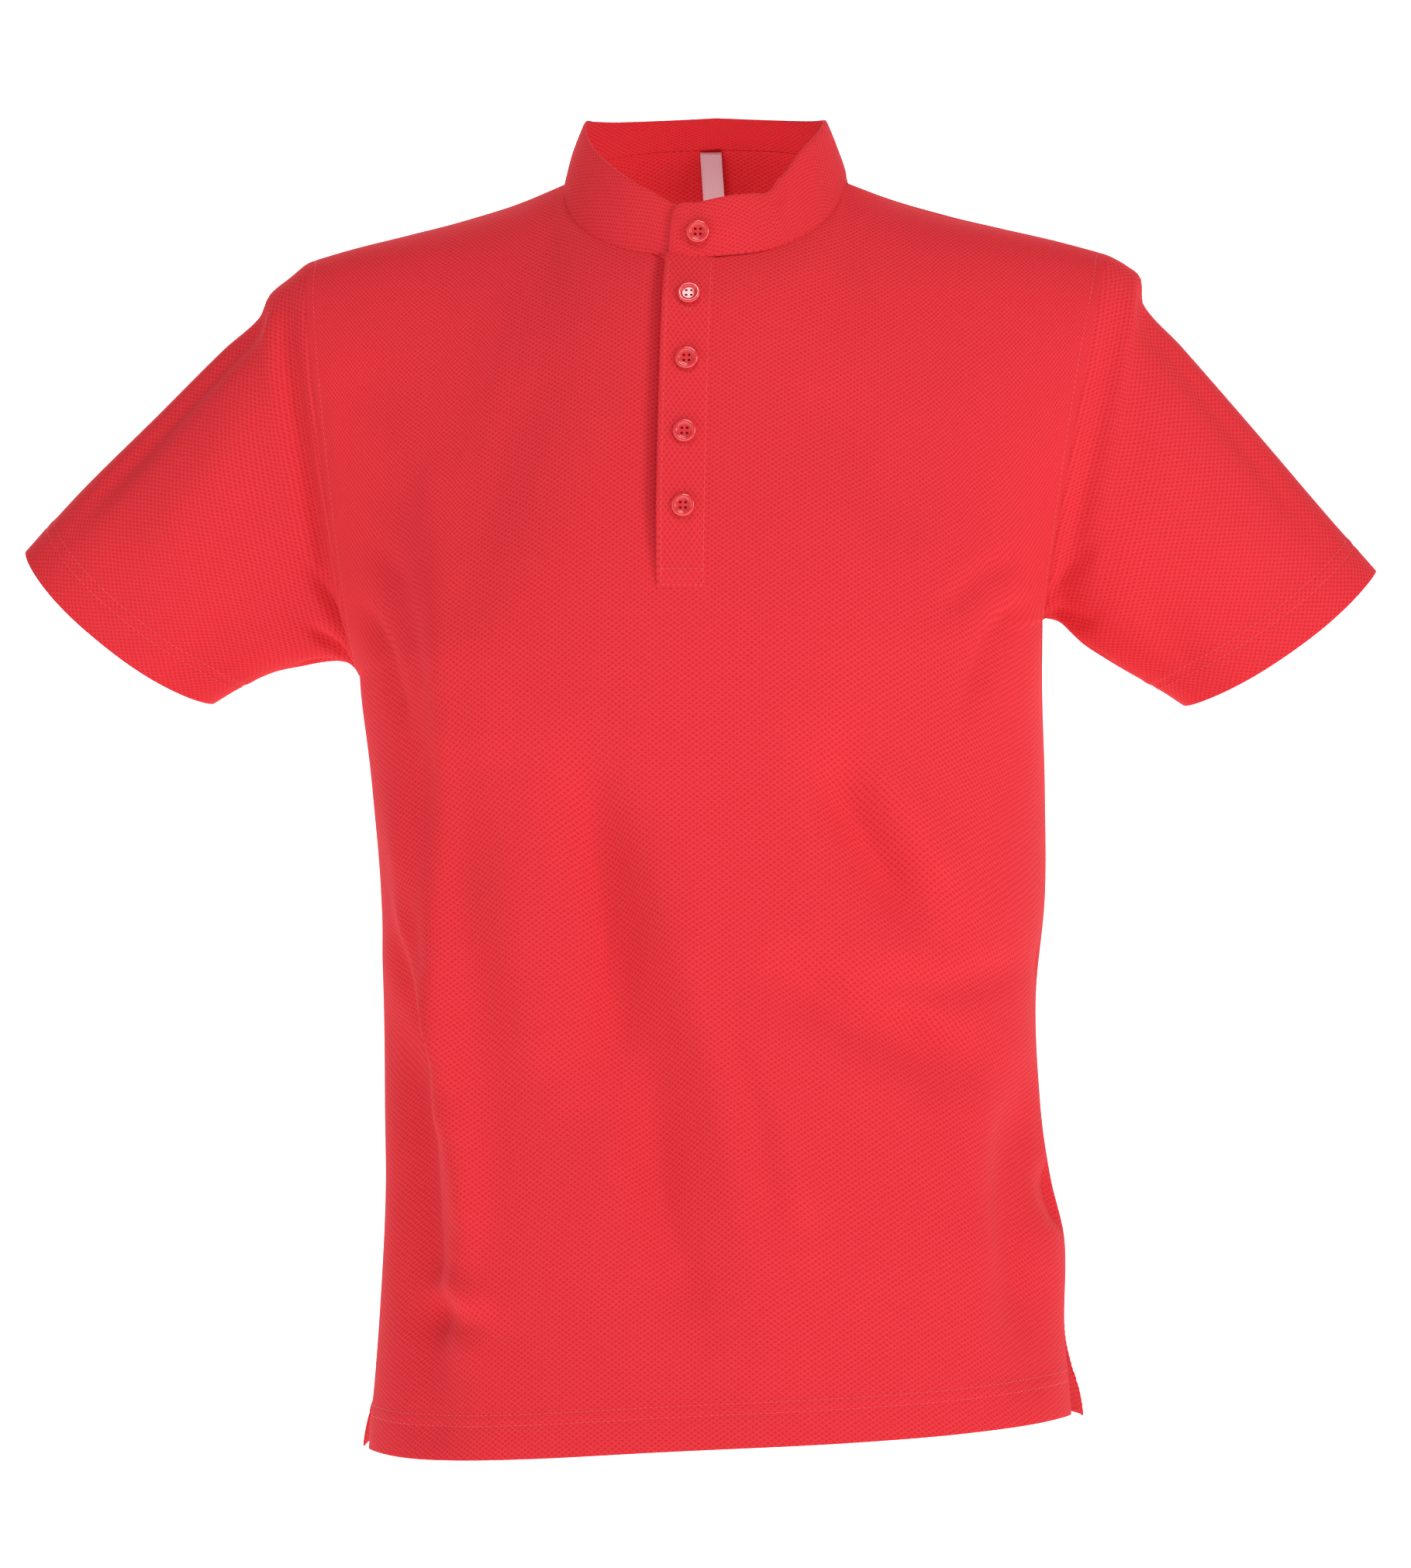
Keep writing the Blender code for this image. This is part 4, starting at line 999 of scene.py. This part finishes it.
class POLO_OT_band(bpy.types.Operator):
    """Make the collar band"""
    bl_idname = "polo.band"
    bl_label = "Collar band"

    def execute(self, context):
        crowd = np.concatenate([np.linspace(BAND_TURNS[0], BAND_TURNS[0] - 2.0, 6)[:-1],
                                np.linspace(BAND_TURNS[0] - 2.0, BAND_TURNS[1] + 8.0, 190)[:-1],
                                BAND_TURNS[1] + 8.0 * (1.0 - np.sin(np.linspace(0.0, math.pi / 2.0, 14)))])

        def half(turn, up):
            edge = np.minimum(BAND_TURNS[0] - turn, turn - BAND_TURNS[1]) * math.radians(1.0) * BAND_RADIUS
            inside = np.clip(BAND_HALF_WALL - edge, 0.0, BAND_HALF_WALL)
            return np.maximum(np.sqrt(BAND_HALF_WALL ** 2 - inside ** 2), BAND_THINNEST)
        bm = rounded_strip(band, crowd, half, count=14, caps=4)
        piece = finish_piece(bm, "band_collar", knit(True), "collar_band")
        return {"FINISHED"}


def front_solve(x, z):
    """The place on the front panel of points given by x and z."""
    s, v = x / 0.19, 2.0 + (z + 0.045) / 0.22
    for _ in range(16):
        point = torso(-1, s, v)
        s = s + (x - point[..., 0]) / 0.19 * 0.8
        v = np.clip(v + (z - point[..., 2]) / 0.26 * 0.8, 1.0, 2.0)
    return s, v


def neck_height(x, gap):
    """How high a strip reaches in front at x, a gap below the neck seam."""
    return loop_point(NECK_LOOP, np.degrees(np.arcsin(x / NECK_LOOP.left)))[..., 2] - gap


def ways(points, axis):
    """A unit vector along one axis for each point."""
    made = np.zeros(points.shape)
    made[..., axis] = 1.0
    return made


UPPER_NECK_GAP = 0.0004
UNDER_NECK_GAP = 0.0012
UNDER_WIDTH = 0.0268
UNDER_DEPTH = 0.0014
UNDER_HALF_WALL = 0.00055


def placket(across, up):
    """Points, outward and upward ways of the upper placket: across 0 is its open edge."""
    x = PLACKET_MIDDLE + PLACKET_WIDTH * (across - 0.5)
    z = blend(PLACKET_LOW, neck_height(x, UPPER_NECK_GAP), up)
    s, v = front_solve(x, z)
    point, outward = panel(-1, s, v)
    proud = PLACKET_PROUD * (1.0 - across) ** 2 * ease(up, 0.02, 0.30) * (1.0 - 0.6 * ease(up, 0.85, 1.0))
    seat = 0.0009 * (1.0 - ease(across, 0.70, 0.98)) * ease(up, 0.0, 0.05) + 0.00045
    wavy = 0.00035 * ripple(z / 0.011, across * 2.0, 7.0) * (1.0 - across)
    return point + outward * (proud + seat + wavy)[..., None], outward, ways(point, 2)


def placket_at(x, z):
    """Points and outward ways of the upper placket at x and z, and how far across it they are."""
    across = (x - PLACKET_MIDDLE) / PLACKET_WIDTH + 0.5
    points, outward, _ = placket(across, (z - PLACKET_LOW) / (neck_height(x, UPPER_NECK_GAP) - PLACKET_LOW))
    return points, outward, across


def placket_half(across):
    """Half the upper placket's thickness: its open edge is folded, its seam edge is flat."""
    return blend(0.0010, 0.00055, ease(across, 0.4, 0.95))


class POLO_OT_placket(bpy.types.Operator):
    """Make the two placket strips"""
    bl_idname = "polo.placket"
    bl_label = "Placket"

    def execute(self, context):
        up = crowded(110, 0.0008 / 0.18)

        def sideways(u, w):
            point, outward, _ = placket(w, u)
            return point, outward, ways(point, 0)

        def half(u, w):
            return placket_half(w) * (0.35 + 0.65 * ease(u, 0.0, 0.01))
        bm = rounded_strip(sideways, up, half, count=12, caps=4)
        piece = finish_piece(bm, "placket_front", knit(), "placket_upper")

        def under(u, w):
            x = PLACKET_MIDDLE + (w - 0.5) * UNDER_WIDTH
            z = blend(PLACKET_LOW + 0.002, neck_height(x, UNDER_NECK_GAP), u)
            s, v = front_solve(x, z)
            point, outward = panel(-1, s, v)
            return point - outward * UNDER_DEPTH, outward, ways(point, 0)
        bm = rounded_strip(under, crowded(60, 0.0008 / 0.18), UNDER_HALF_WALL, count=8, caps=3)
        piece = finish_piece(bm, "placket_back", knit(), "placket_under")
        return {"FINISHED"}


def stitch_template(length, radius):
    """One short thread, thicker in its middle."""
    bm = bmesh.new()
    bmesh.ops.create_uvsphere(bm, u_segments=5, v_segments=5, radius=1.0)
    for vert in bm.verts:
        vert.co = Vector((vert.co.z * length / 2.0, vert.co.y * radius, vert.co.x * radius * 0.8))
    mesh = bpy.data.meshes.new("stitch_template")
    bm.to_mesh(mesh)
    bm.free()
    return mesh


def sampled(wanted, places, values):
    """The vectors read off a line of them at the wanted places."""
    return np.stack([np.interp(wanted, places, values[:, axis]) for axis in range(3)], axis=-1)


def sew(name, runs):
    """A row of stitches along each run of points and normals, as one mesh."""
    thread = bpy.context.scene.polo_stitch
    template = stitch_template(thread.length, thread.radius)
    shape = np.array([vert.co for vert in template.vertices])
    polygons = [list(face.vertices) for face in template.polygons]
    points, faces = [], []
    for line, normals in runs:
        gaps = np.linalg.norm(np.diff(line, axis=0), axis=-1)
        places = np.concatenate([[0.0], np.cumsum(gaps)])
        count = int(places[-1] / thread.pitch)
        wanted = (np.arange(count) + 0.5) * places[-1] / count
        spots = sampled(wanted, places, line)
        up = unit(sampled(wanted, places, normals))
        along = unit(sampled(wanted + 0.0008, places, line) - sampled(wanted - 0.0008, places, line))
        side = unit(np.cross(up, along))
        for spot, a, b, c in zip(spots, along, side, up):
            base = len(points) * len(shape)
            points.append(spot + shape @ np.stack([a, b, c]))
            faces += [[index + base for index in polygon] for polygon in polygons]
    mesh = bpy.data.meshes.new(name)
    mesh.from_pydata(np.concatenate(points).tolist(), [], faces)
    bpy.data.meshes.remove(template)
    material = bpy.data.materials.get("cotton_thread") or simple_material(
        "cotton_thread", thread.colour, 0.6, sheen=0.2, grain=0.00005, grain_scale=3000.0)
    ride_along(mesh, name, material)


def placket_run(x, z):
    """A run of stitches on the upper placket, from x and z along it."""
    x, z = np.broadcast_arrays(np.asarray(x, dtype=float), np.asarray(z, dtype=float))
    points, outward, across = placket_at(x, z)
    return points + outward * placket_half(across)[..., None], outward


def panel_run(side, s, v, lift):
    points, outward = panel(side, s, v)
    return points + outward * lift, outward


class POLO_OT_stitching(bpy.types.Operator):
    """Sew the hems, the armholes, the vents and the placket"""
    bl_idname = "polo.stitching"
    bl_label = "Stitching"

    def execute(self, context):
        lift = context.scene.polo_cloth.thickness / 2.0 + 0.00005
        for name, side in (("front_stitching", -1), ("back_stitching", 1)):
            runs = []
            across = np.linspace(-0.99, 0.99, 500)
            for row in HEM_ROWS:
                share = row / (armpit_z(across) - hem_z(side, across))
                runs.append(panel_run(side, across, share, lift))
            for sign in (-1.0, 1.0):
                up = np.linspace(1.03, 1.985, 240)
                wide = np.linalg.norm(torso(side, np.full_like(up, sign), up)
                                      - torso(side, np.full_like(up, sign * 0.99), up), axis=-1) / 0.01
                runs.append(panel_run(side, sign * (1.0 - TOPSTITCH / wide), up, lift))
                low = np.linspace(0.003, (VENT + 0.002) / 0.44, 60)
                runs.append(panel_run(side, np.full_like(low, sign * (1.0 - 0.0060 / 0.27)), low, lift))
            sew(name, runs)
        left, right = PLACKET_MIDDLE - PLACKET_WIDTH / 2.0, PLACKET_MIDDLE + PLACKET_WIDTH / 2.0
        high = np.linspace(PLACKET_LOW + 0.002, NECK_RISE[0].z - 0.004, 120)
        runs = [placket_run(left + 0.0028, high), placket_run(right - 0.0016, high)]
        for row in (0.0016, 0.0100):
            runs.append(placket_run(np.linspace(left + 0.002, right - 0.001, 30), PLACKET_LOW + row))
        for height in BUTTON_HEIGHTS:
            for sign in (-1.0, 1.0):
                x = BUTTON_X + sign * np.linspace(0.0015, 0.0003, 6)
                runs.append(placket_run(x, height - np.linspace(0.0062, 0.0094, 6)))
        sew("placket_stitching", runs)
        for name, table in (("sleeve_right_stitching", RIGHT_ARM), ("sleeve_left_stitching", LEFT_ARM)):
            runs = []
            angle = np.linspace(0.0, 2.0 * math.pi, 300)
            near = sleeve(table, np.full_like(angle, 0.97), angle)[0]
            edge = sleeve(table, np.ones_like(angle), angle)[0]
            tall = np.linalg.norm(edge - near, axis=-1) / 0.03
            for row in HEM_ROWS:
                points, outward = sleeve(table, 1.0 - row / tall, angle)
                runs.append((points + outward * lift, outward))
            sew(name, runs)
        return {"FINISHED"}


def spun(profile, steps):
    """A turned solid from a profile of radius and height."""
    bm = bmesh.new()
    verts = [bm.verts.new((radius, 0.0, height)) for radius, height in profile]
    edges = [bm.edges.new(pair) for pair in zip(verts, verts[1:])]
    bmesh.ops.spin(bm, geom=[*verts, *edges], cent=(0, 0, 0), axis=(0, 0, 1), angle=2.0 * math.pi,
                   steps=steps, use_merge=True)
    bmesh.ops.remove_doubles(bm, verts=bm.verts, dist=1e-6)
    bmesh.ops.recalc_face_normals(bm, faces=bm.faces)
    return bm


def button_profile(radius, thickness):
    """Radius and height from the dished middle, over the rim and down to the flat back."""
    rows = [(0.0, thickness * 0.56), (radius * 0.50, thickness * 0.56)]
    for out, reach, height, lift, angles in (
            (0.50, 0.12, 0.68, 0.12, np.linspace(-math.pi / 2.0, 0.0, 5)),
            (0.81, 0.19, 0.70, 0.30, np.linspace(math.pi, 0.0, 11)[1:])):
        for angle in angles:
            rows.append((radius * out + radius * reach * math.cos(angle),
                         thickness * height + thickness * lift * math.sin(angle)))
    rows += [(radius * 0.97, thickness * 0.40), (radius * 0.86, thickness * 0.14)]
    return rows + [(radius * 0.70, 0.0), (0.0, 0.0)]


HOLE_OFFSET = 0.00145
HOLE_RADII = (0.00068, 0.00080)
BAND_BUTTON_SEAT = 0.0016
PLACKET_BUTTON_SEAT = 0.0013


def drilled(bm):
    """The turned button with its four holes, as a bmesh."""
    blank = new_object("blank", new_mesh(bm, "blank"))
    drills = []
    for x in (-HOLE_OFFSET, HOLE_OFFSET):
        for y in (-HOLE_OFFSET, HOLE_OFFSET):
            hole = bmesh.new()
            bmesh.ops.create_cone(hole, cap_ends=True, segments=20, radius1=HOLE_RADII[0],
                                  radius2=HOLE_RADII[1], depth=0.008)
            bmesh.ops.translate(hole, verts=hole.verts, vec=(x, y, 0.0))
            drills.append(new_object("drill", new_mesh(hole, "drill")))
            bite = blank.modifiers.new("hole", "BOOLEAN")
            bite.object = drills[-1]
            bite.solver = "EXACT"
    bpy.context.view_layer.update()
    cut = bpy.data.meshes.new_from_object(blank.evaluated_get(bpy.context.evaluated_depsgraph_get()))
    for extra in (blank, *drills):
        bpy.data.objects.remove(extra, do_unlink=True)
    bm = bmesh.new()
    bm.from_mesh(cut)
    bpy.data.meshes.remove(cut)
    return bm


class POLO_OT_buttons(bpy.types.Operator):
    """Make the five buttons"""
    bl_idname = "polo.buttons"
    bl_label = "Buttons"

    def execute(self, context):
        settings = context.scene.polo_button
        resin = simple_material("moulded_resin", settings.colour, 0.14, coat=1.0)
        for index in range(5):
            seat, outward = button_seat(index)
            turn = Vector(outward).to_track_quat("Z", "Y").to_matrix().to_4x4()
            bm = drilled(spun(button_profile(settings.radius, settings.thickness), 64))
            bmesh.ops.transform(bm, matrix=turn, verts=bm.verts)
            bmesh.ops.translate(bm, verts=bm.verts, vec=seat)
            piece = finish_piece(bm, f"button_disc_{index + 1}", resin, f"button_{index + 1}")
            piece.data.set_sharp_from_angle(angle=math.radians(40.0))
        return {"FINISHED"}


def button_seat(index):
    """Where a button's back lies and the way it faces."""
    if index == 0:
        point, flat, rise = band(np.array(BAND_BUTTON_TURN), np.array(BAND_BUTTON_UP))
        outward = unit(flat - rise * (flat @ rise))
        return point + outward * BAND_BUTTON_SEAT, outward
    point, outward, _ = placket_at(np.array(BUTTON_X), np.array(BUTTON_HEIGHTS[index - 1]))
    return point + outward * PLACKET_BUTTON_SEAT, outward


class POLO_OT_label(bpy.types.Operator):
    """Make the bare neck label"""
    bl_idname = "polo.label"
    bl_label = "Neck label"

    def execute(self, context):
        seam = loop_point(NECK_LOOP, 180.0)

        def middle(u, w):
            down = LABEL_LENGTH * u
            x = LABEL_X + LABEL_WIDTH * (w - 0.5) + 0.05 * down
            y = seam[1] - LABEL_CLEARANCE + LABEL_SLOPE * down - 0.0006 * np.sin(math.pi * w) * u
            z = seam[2] - LABEL_DROP - down
            out = stack(np.zeros_like(x), -np.ones_like(x), np.zeros_like(x))
            across = stack(np.ones_like(x), np.zeros_like(x), np.zeros_like(x))
            return stack(x, y, z), out, across
        bm = rounded_strip(middle, np.linspace(0.0, 1.0, 30), 0.00022, count=6, caps=2)
        satin = simple_material("satin_ribbon", context.scene.polo_label.colour, 0.38, sheen=0.1,
                                grain=0.00004, grain_scale=2500.0)
        piece = finish_piece(bm, "label_ribbon", satin, "neck_label")
        return {"FINISHED"}


STUDIO_REACH = 12.0
FLOOR_Z = -0.95
WALL_Y = 8.0
WALL_TOP = 9.0
COVE = 0.9
PAPER_GLOW = 0.78
WORLD_LIGHT = 0.21
# The cloth lets some light through; the small lamp inside the neck stands in for it
Lamp = namedtuple("Lamp", "name place aim size energy")
LAMPS = (
    Lamp("key", (2.7, -1.9, 0.9), (0, 0, -0.30), (1.0, 1.4), 36.0),
    Lamp("fill", (-2.5, -2.2, 0.5), (0, 0, -0.35), (1.4, 2.0), 11.0),
    Lamp("front", (0.2, -2.0, 2.8), (0, 0, -0.15), (1.6, 1.0), 43.0),
    Lamp("back", (-0.8, 2.6, 2.2), (0, 0, -0.20), (1.8, 1.0), 46.0),
    Lamp("neck", (0.0, -0.02, -0.20), (0.0, 0.06, 0.0), (0.08, 0.06), 0.22),
)


class POLO_OT_stage(bpy.types.Operator):
    """Make the pale backdrop, the lights and the camera"""
    bl_idname = "polo.stage"
    bl_label = "Studio"

    def execute(self, context):
        scene = context.scene
        profile = [(-STUDIO_REACH, 0.0), (WALL_Y, 0.0)]
        for angle in np.linspace(0.0, math.pi / 2.0, 12)[1:]:
            profile.append((WALL_Y + COVE * math.sin(angle), COVE - COVE * math.cos(angle)))
        profile.append((WALL_Y + COVE, WALL_TOP))
        bm = bmesh.new()
        row = [bm.verts.new((-STUDIO_REACH, y, z + FLOOR_Z)) for y, z in profile]
        edges = [bm.edges.new(pair) for pair in zip(row, row[1:])]
        grown = bmesh.ops.extrude_edge_only(bm, edges=edges)["geom"]
        far = [item for item in grown if isinstance(item, bmesh.types.BMVert)]
        bmesh.ops.translate(bm, verts=far, vec=(STUDIO_REACH * 2.0, 0, 0))
        mesh = new_mesh(bm, "backdrop")
        mesh.shade_smooth()
        paper, _, shader = new_material("backdrop_paper")
        shader.inputs["Base Color"].default_value = hex_colour("#fbfbfb")
        shader.inputs["Roughness"].default_value = 0.9
        shader.inputs["Emission Color"].default_value = (1.0, 1.0, 1.0, 1.0)
        shader.inputs["Emission Strength"].default_value = PAPER_GLOW
        mesh.materials.append(paper)
        new_object("backdrop", mesh)
        for row in LAMPS:
            light = bpy.data.lights.new(row.name, "AREA")
            light.shape = "RECTANGLE"
            light.size, light.size_y = row.size
            light.energy = row.energy
            lamp = new_object(row.name, light)
            lamp.location = row.place
            lamp.rotation_euler = (Vector(row.place) - Vector(row.aim)).to_track_quat("Z", "Y").to_euler()
        bpy.data.objects["neck"].visible_camera = False
        world = bpy.data.worlds.new("studio")
        scene.world = world
        world.use_nodes = True
        background = world.node_tree.nodes["Background"]
        background.inputs["Color"].default_value = (1.0, 1.0, 1.0, 1.0)
        # Seen directly the world is as white as the backdrop; as a light it is soft
        rays = add_node(world.node_tree, "ShaderNodeLightPath")
        strength = add_node(world.node_tree, "ShaderNodeMapRange", Value=rays.outputs["Is Camera Ray"],
                            To_Min=WORLD_LIGHT, To_Max=1.0)
        world.node_tree.links.new(strength.outputs[0], background.inputs["Strength"])
        scene.view_settings.view_transform = "Standard"

        data = bpy.data.cameras.new("camera")
        camera = new_object("camera", data)
        middle = Vector((0.0, 0.0, -(IMAGE_HEIGHT / 2.0 - NECK_POINT_ROW) * PIXEL))
        back = Vector((math.sin(CAMERA_TURN) * math.cos(CAMERA_RISE),
                       -math.cos(CAMERA_TURN) * math.cos(CAMERA_RISE), math.sin(CAMERA_RISE)))
        camera.location = middle + back * CAMERA_DISTANCE
        camera.rotation_euler = back.to_track_quat("Z", "Y").to_euler()
        data.sensor_fit = "HORIZONTAL"
        data.sensor_width = SENSOR
        data.lens = SENSOR * CAMERA_DISTANCE / (IMAGE_WIDTH * PIXEL)
        data.shift_x = -(MIDDLE_COLUMN - IMAGE_WIDTH / 2.0) / IMAGE_WIDTH
        scene.camera = camera
        return {"FINISHED"}


class POLO_PT_sidebar(bpy.types.Panel):
    bl_idname = "POLO_PT_sidebar"
    bl_label = "Polo Shirt"
    bl_space_type = "VIEW_3D"
    bl_region_type = "UI"
    bl_category = "Polo Shirt"

    def draw(self, context):
        for owner in ("polo_cloth", "polo_stitch", "polo_button", "polo_label"):
            group = getattr(context.scene, owner)
            for name in group.__annotations__:
                self.layout.prop(group, name)
        for operator in OPERATORS:
            self.layout.operator(operator.bl_idname)


OPERATORS = (POLO_OT_panels, POLO_OT_sleeves, POLO_OT_band, POLO_OT_placket, POLO_OT_stitching,
             POLO_OT_buttons, POLO_OT_label, POLO_OT_stage)
SETTINGS = (("polo_cloth", ClothSettings), ("polo_stitch", StitchSettings),
            ("polo_button", ButtonSettings), ("polo_label", LabelSettings))


def register():
    for name, group in SETTINGS:
        bpy.utils.register_class(group)
        setattr(bpy.types.Scene, name, PointerProperty(type=group))
    for cls in (*OPERATORS, POLO_PT_sidebar):
        bpy.utils.register_class(cls)


def unregister():
    for cls in (*OPERATORS, POLO_PT_sidebar):
        bpy.utils.unregister_class(cls)
    for name, group in SETTINGS:
        delattr(bpy.types.Scene, name)
        bpy.utils.unregister_class(group)


def main():
    register()
    for operator in OPERATORS:
        getattr(bpy.ops.polo, operator.bl_idname.split(".")[1])()


if __name__ == "__main__":
    main()
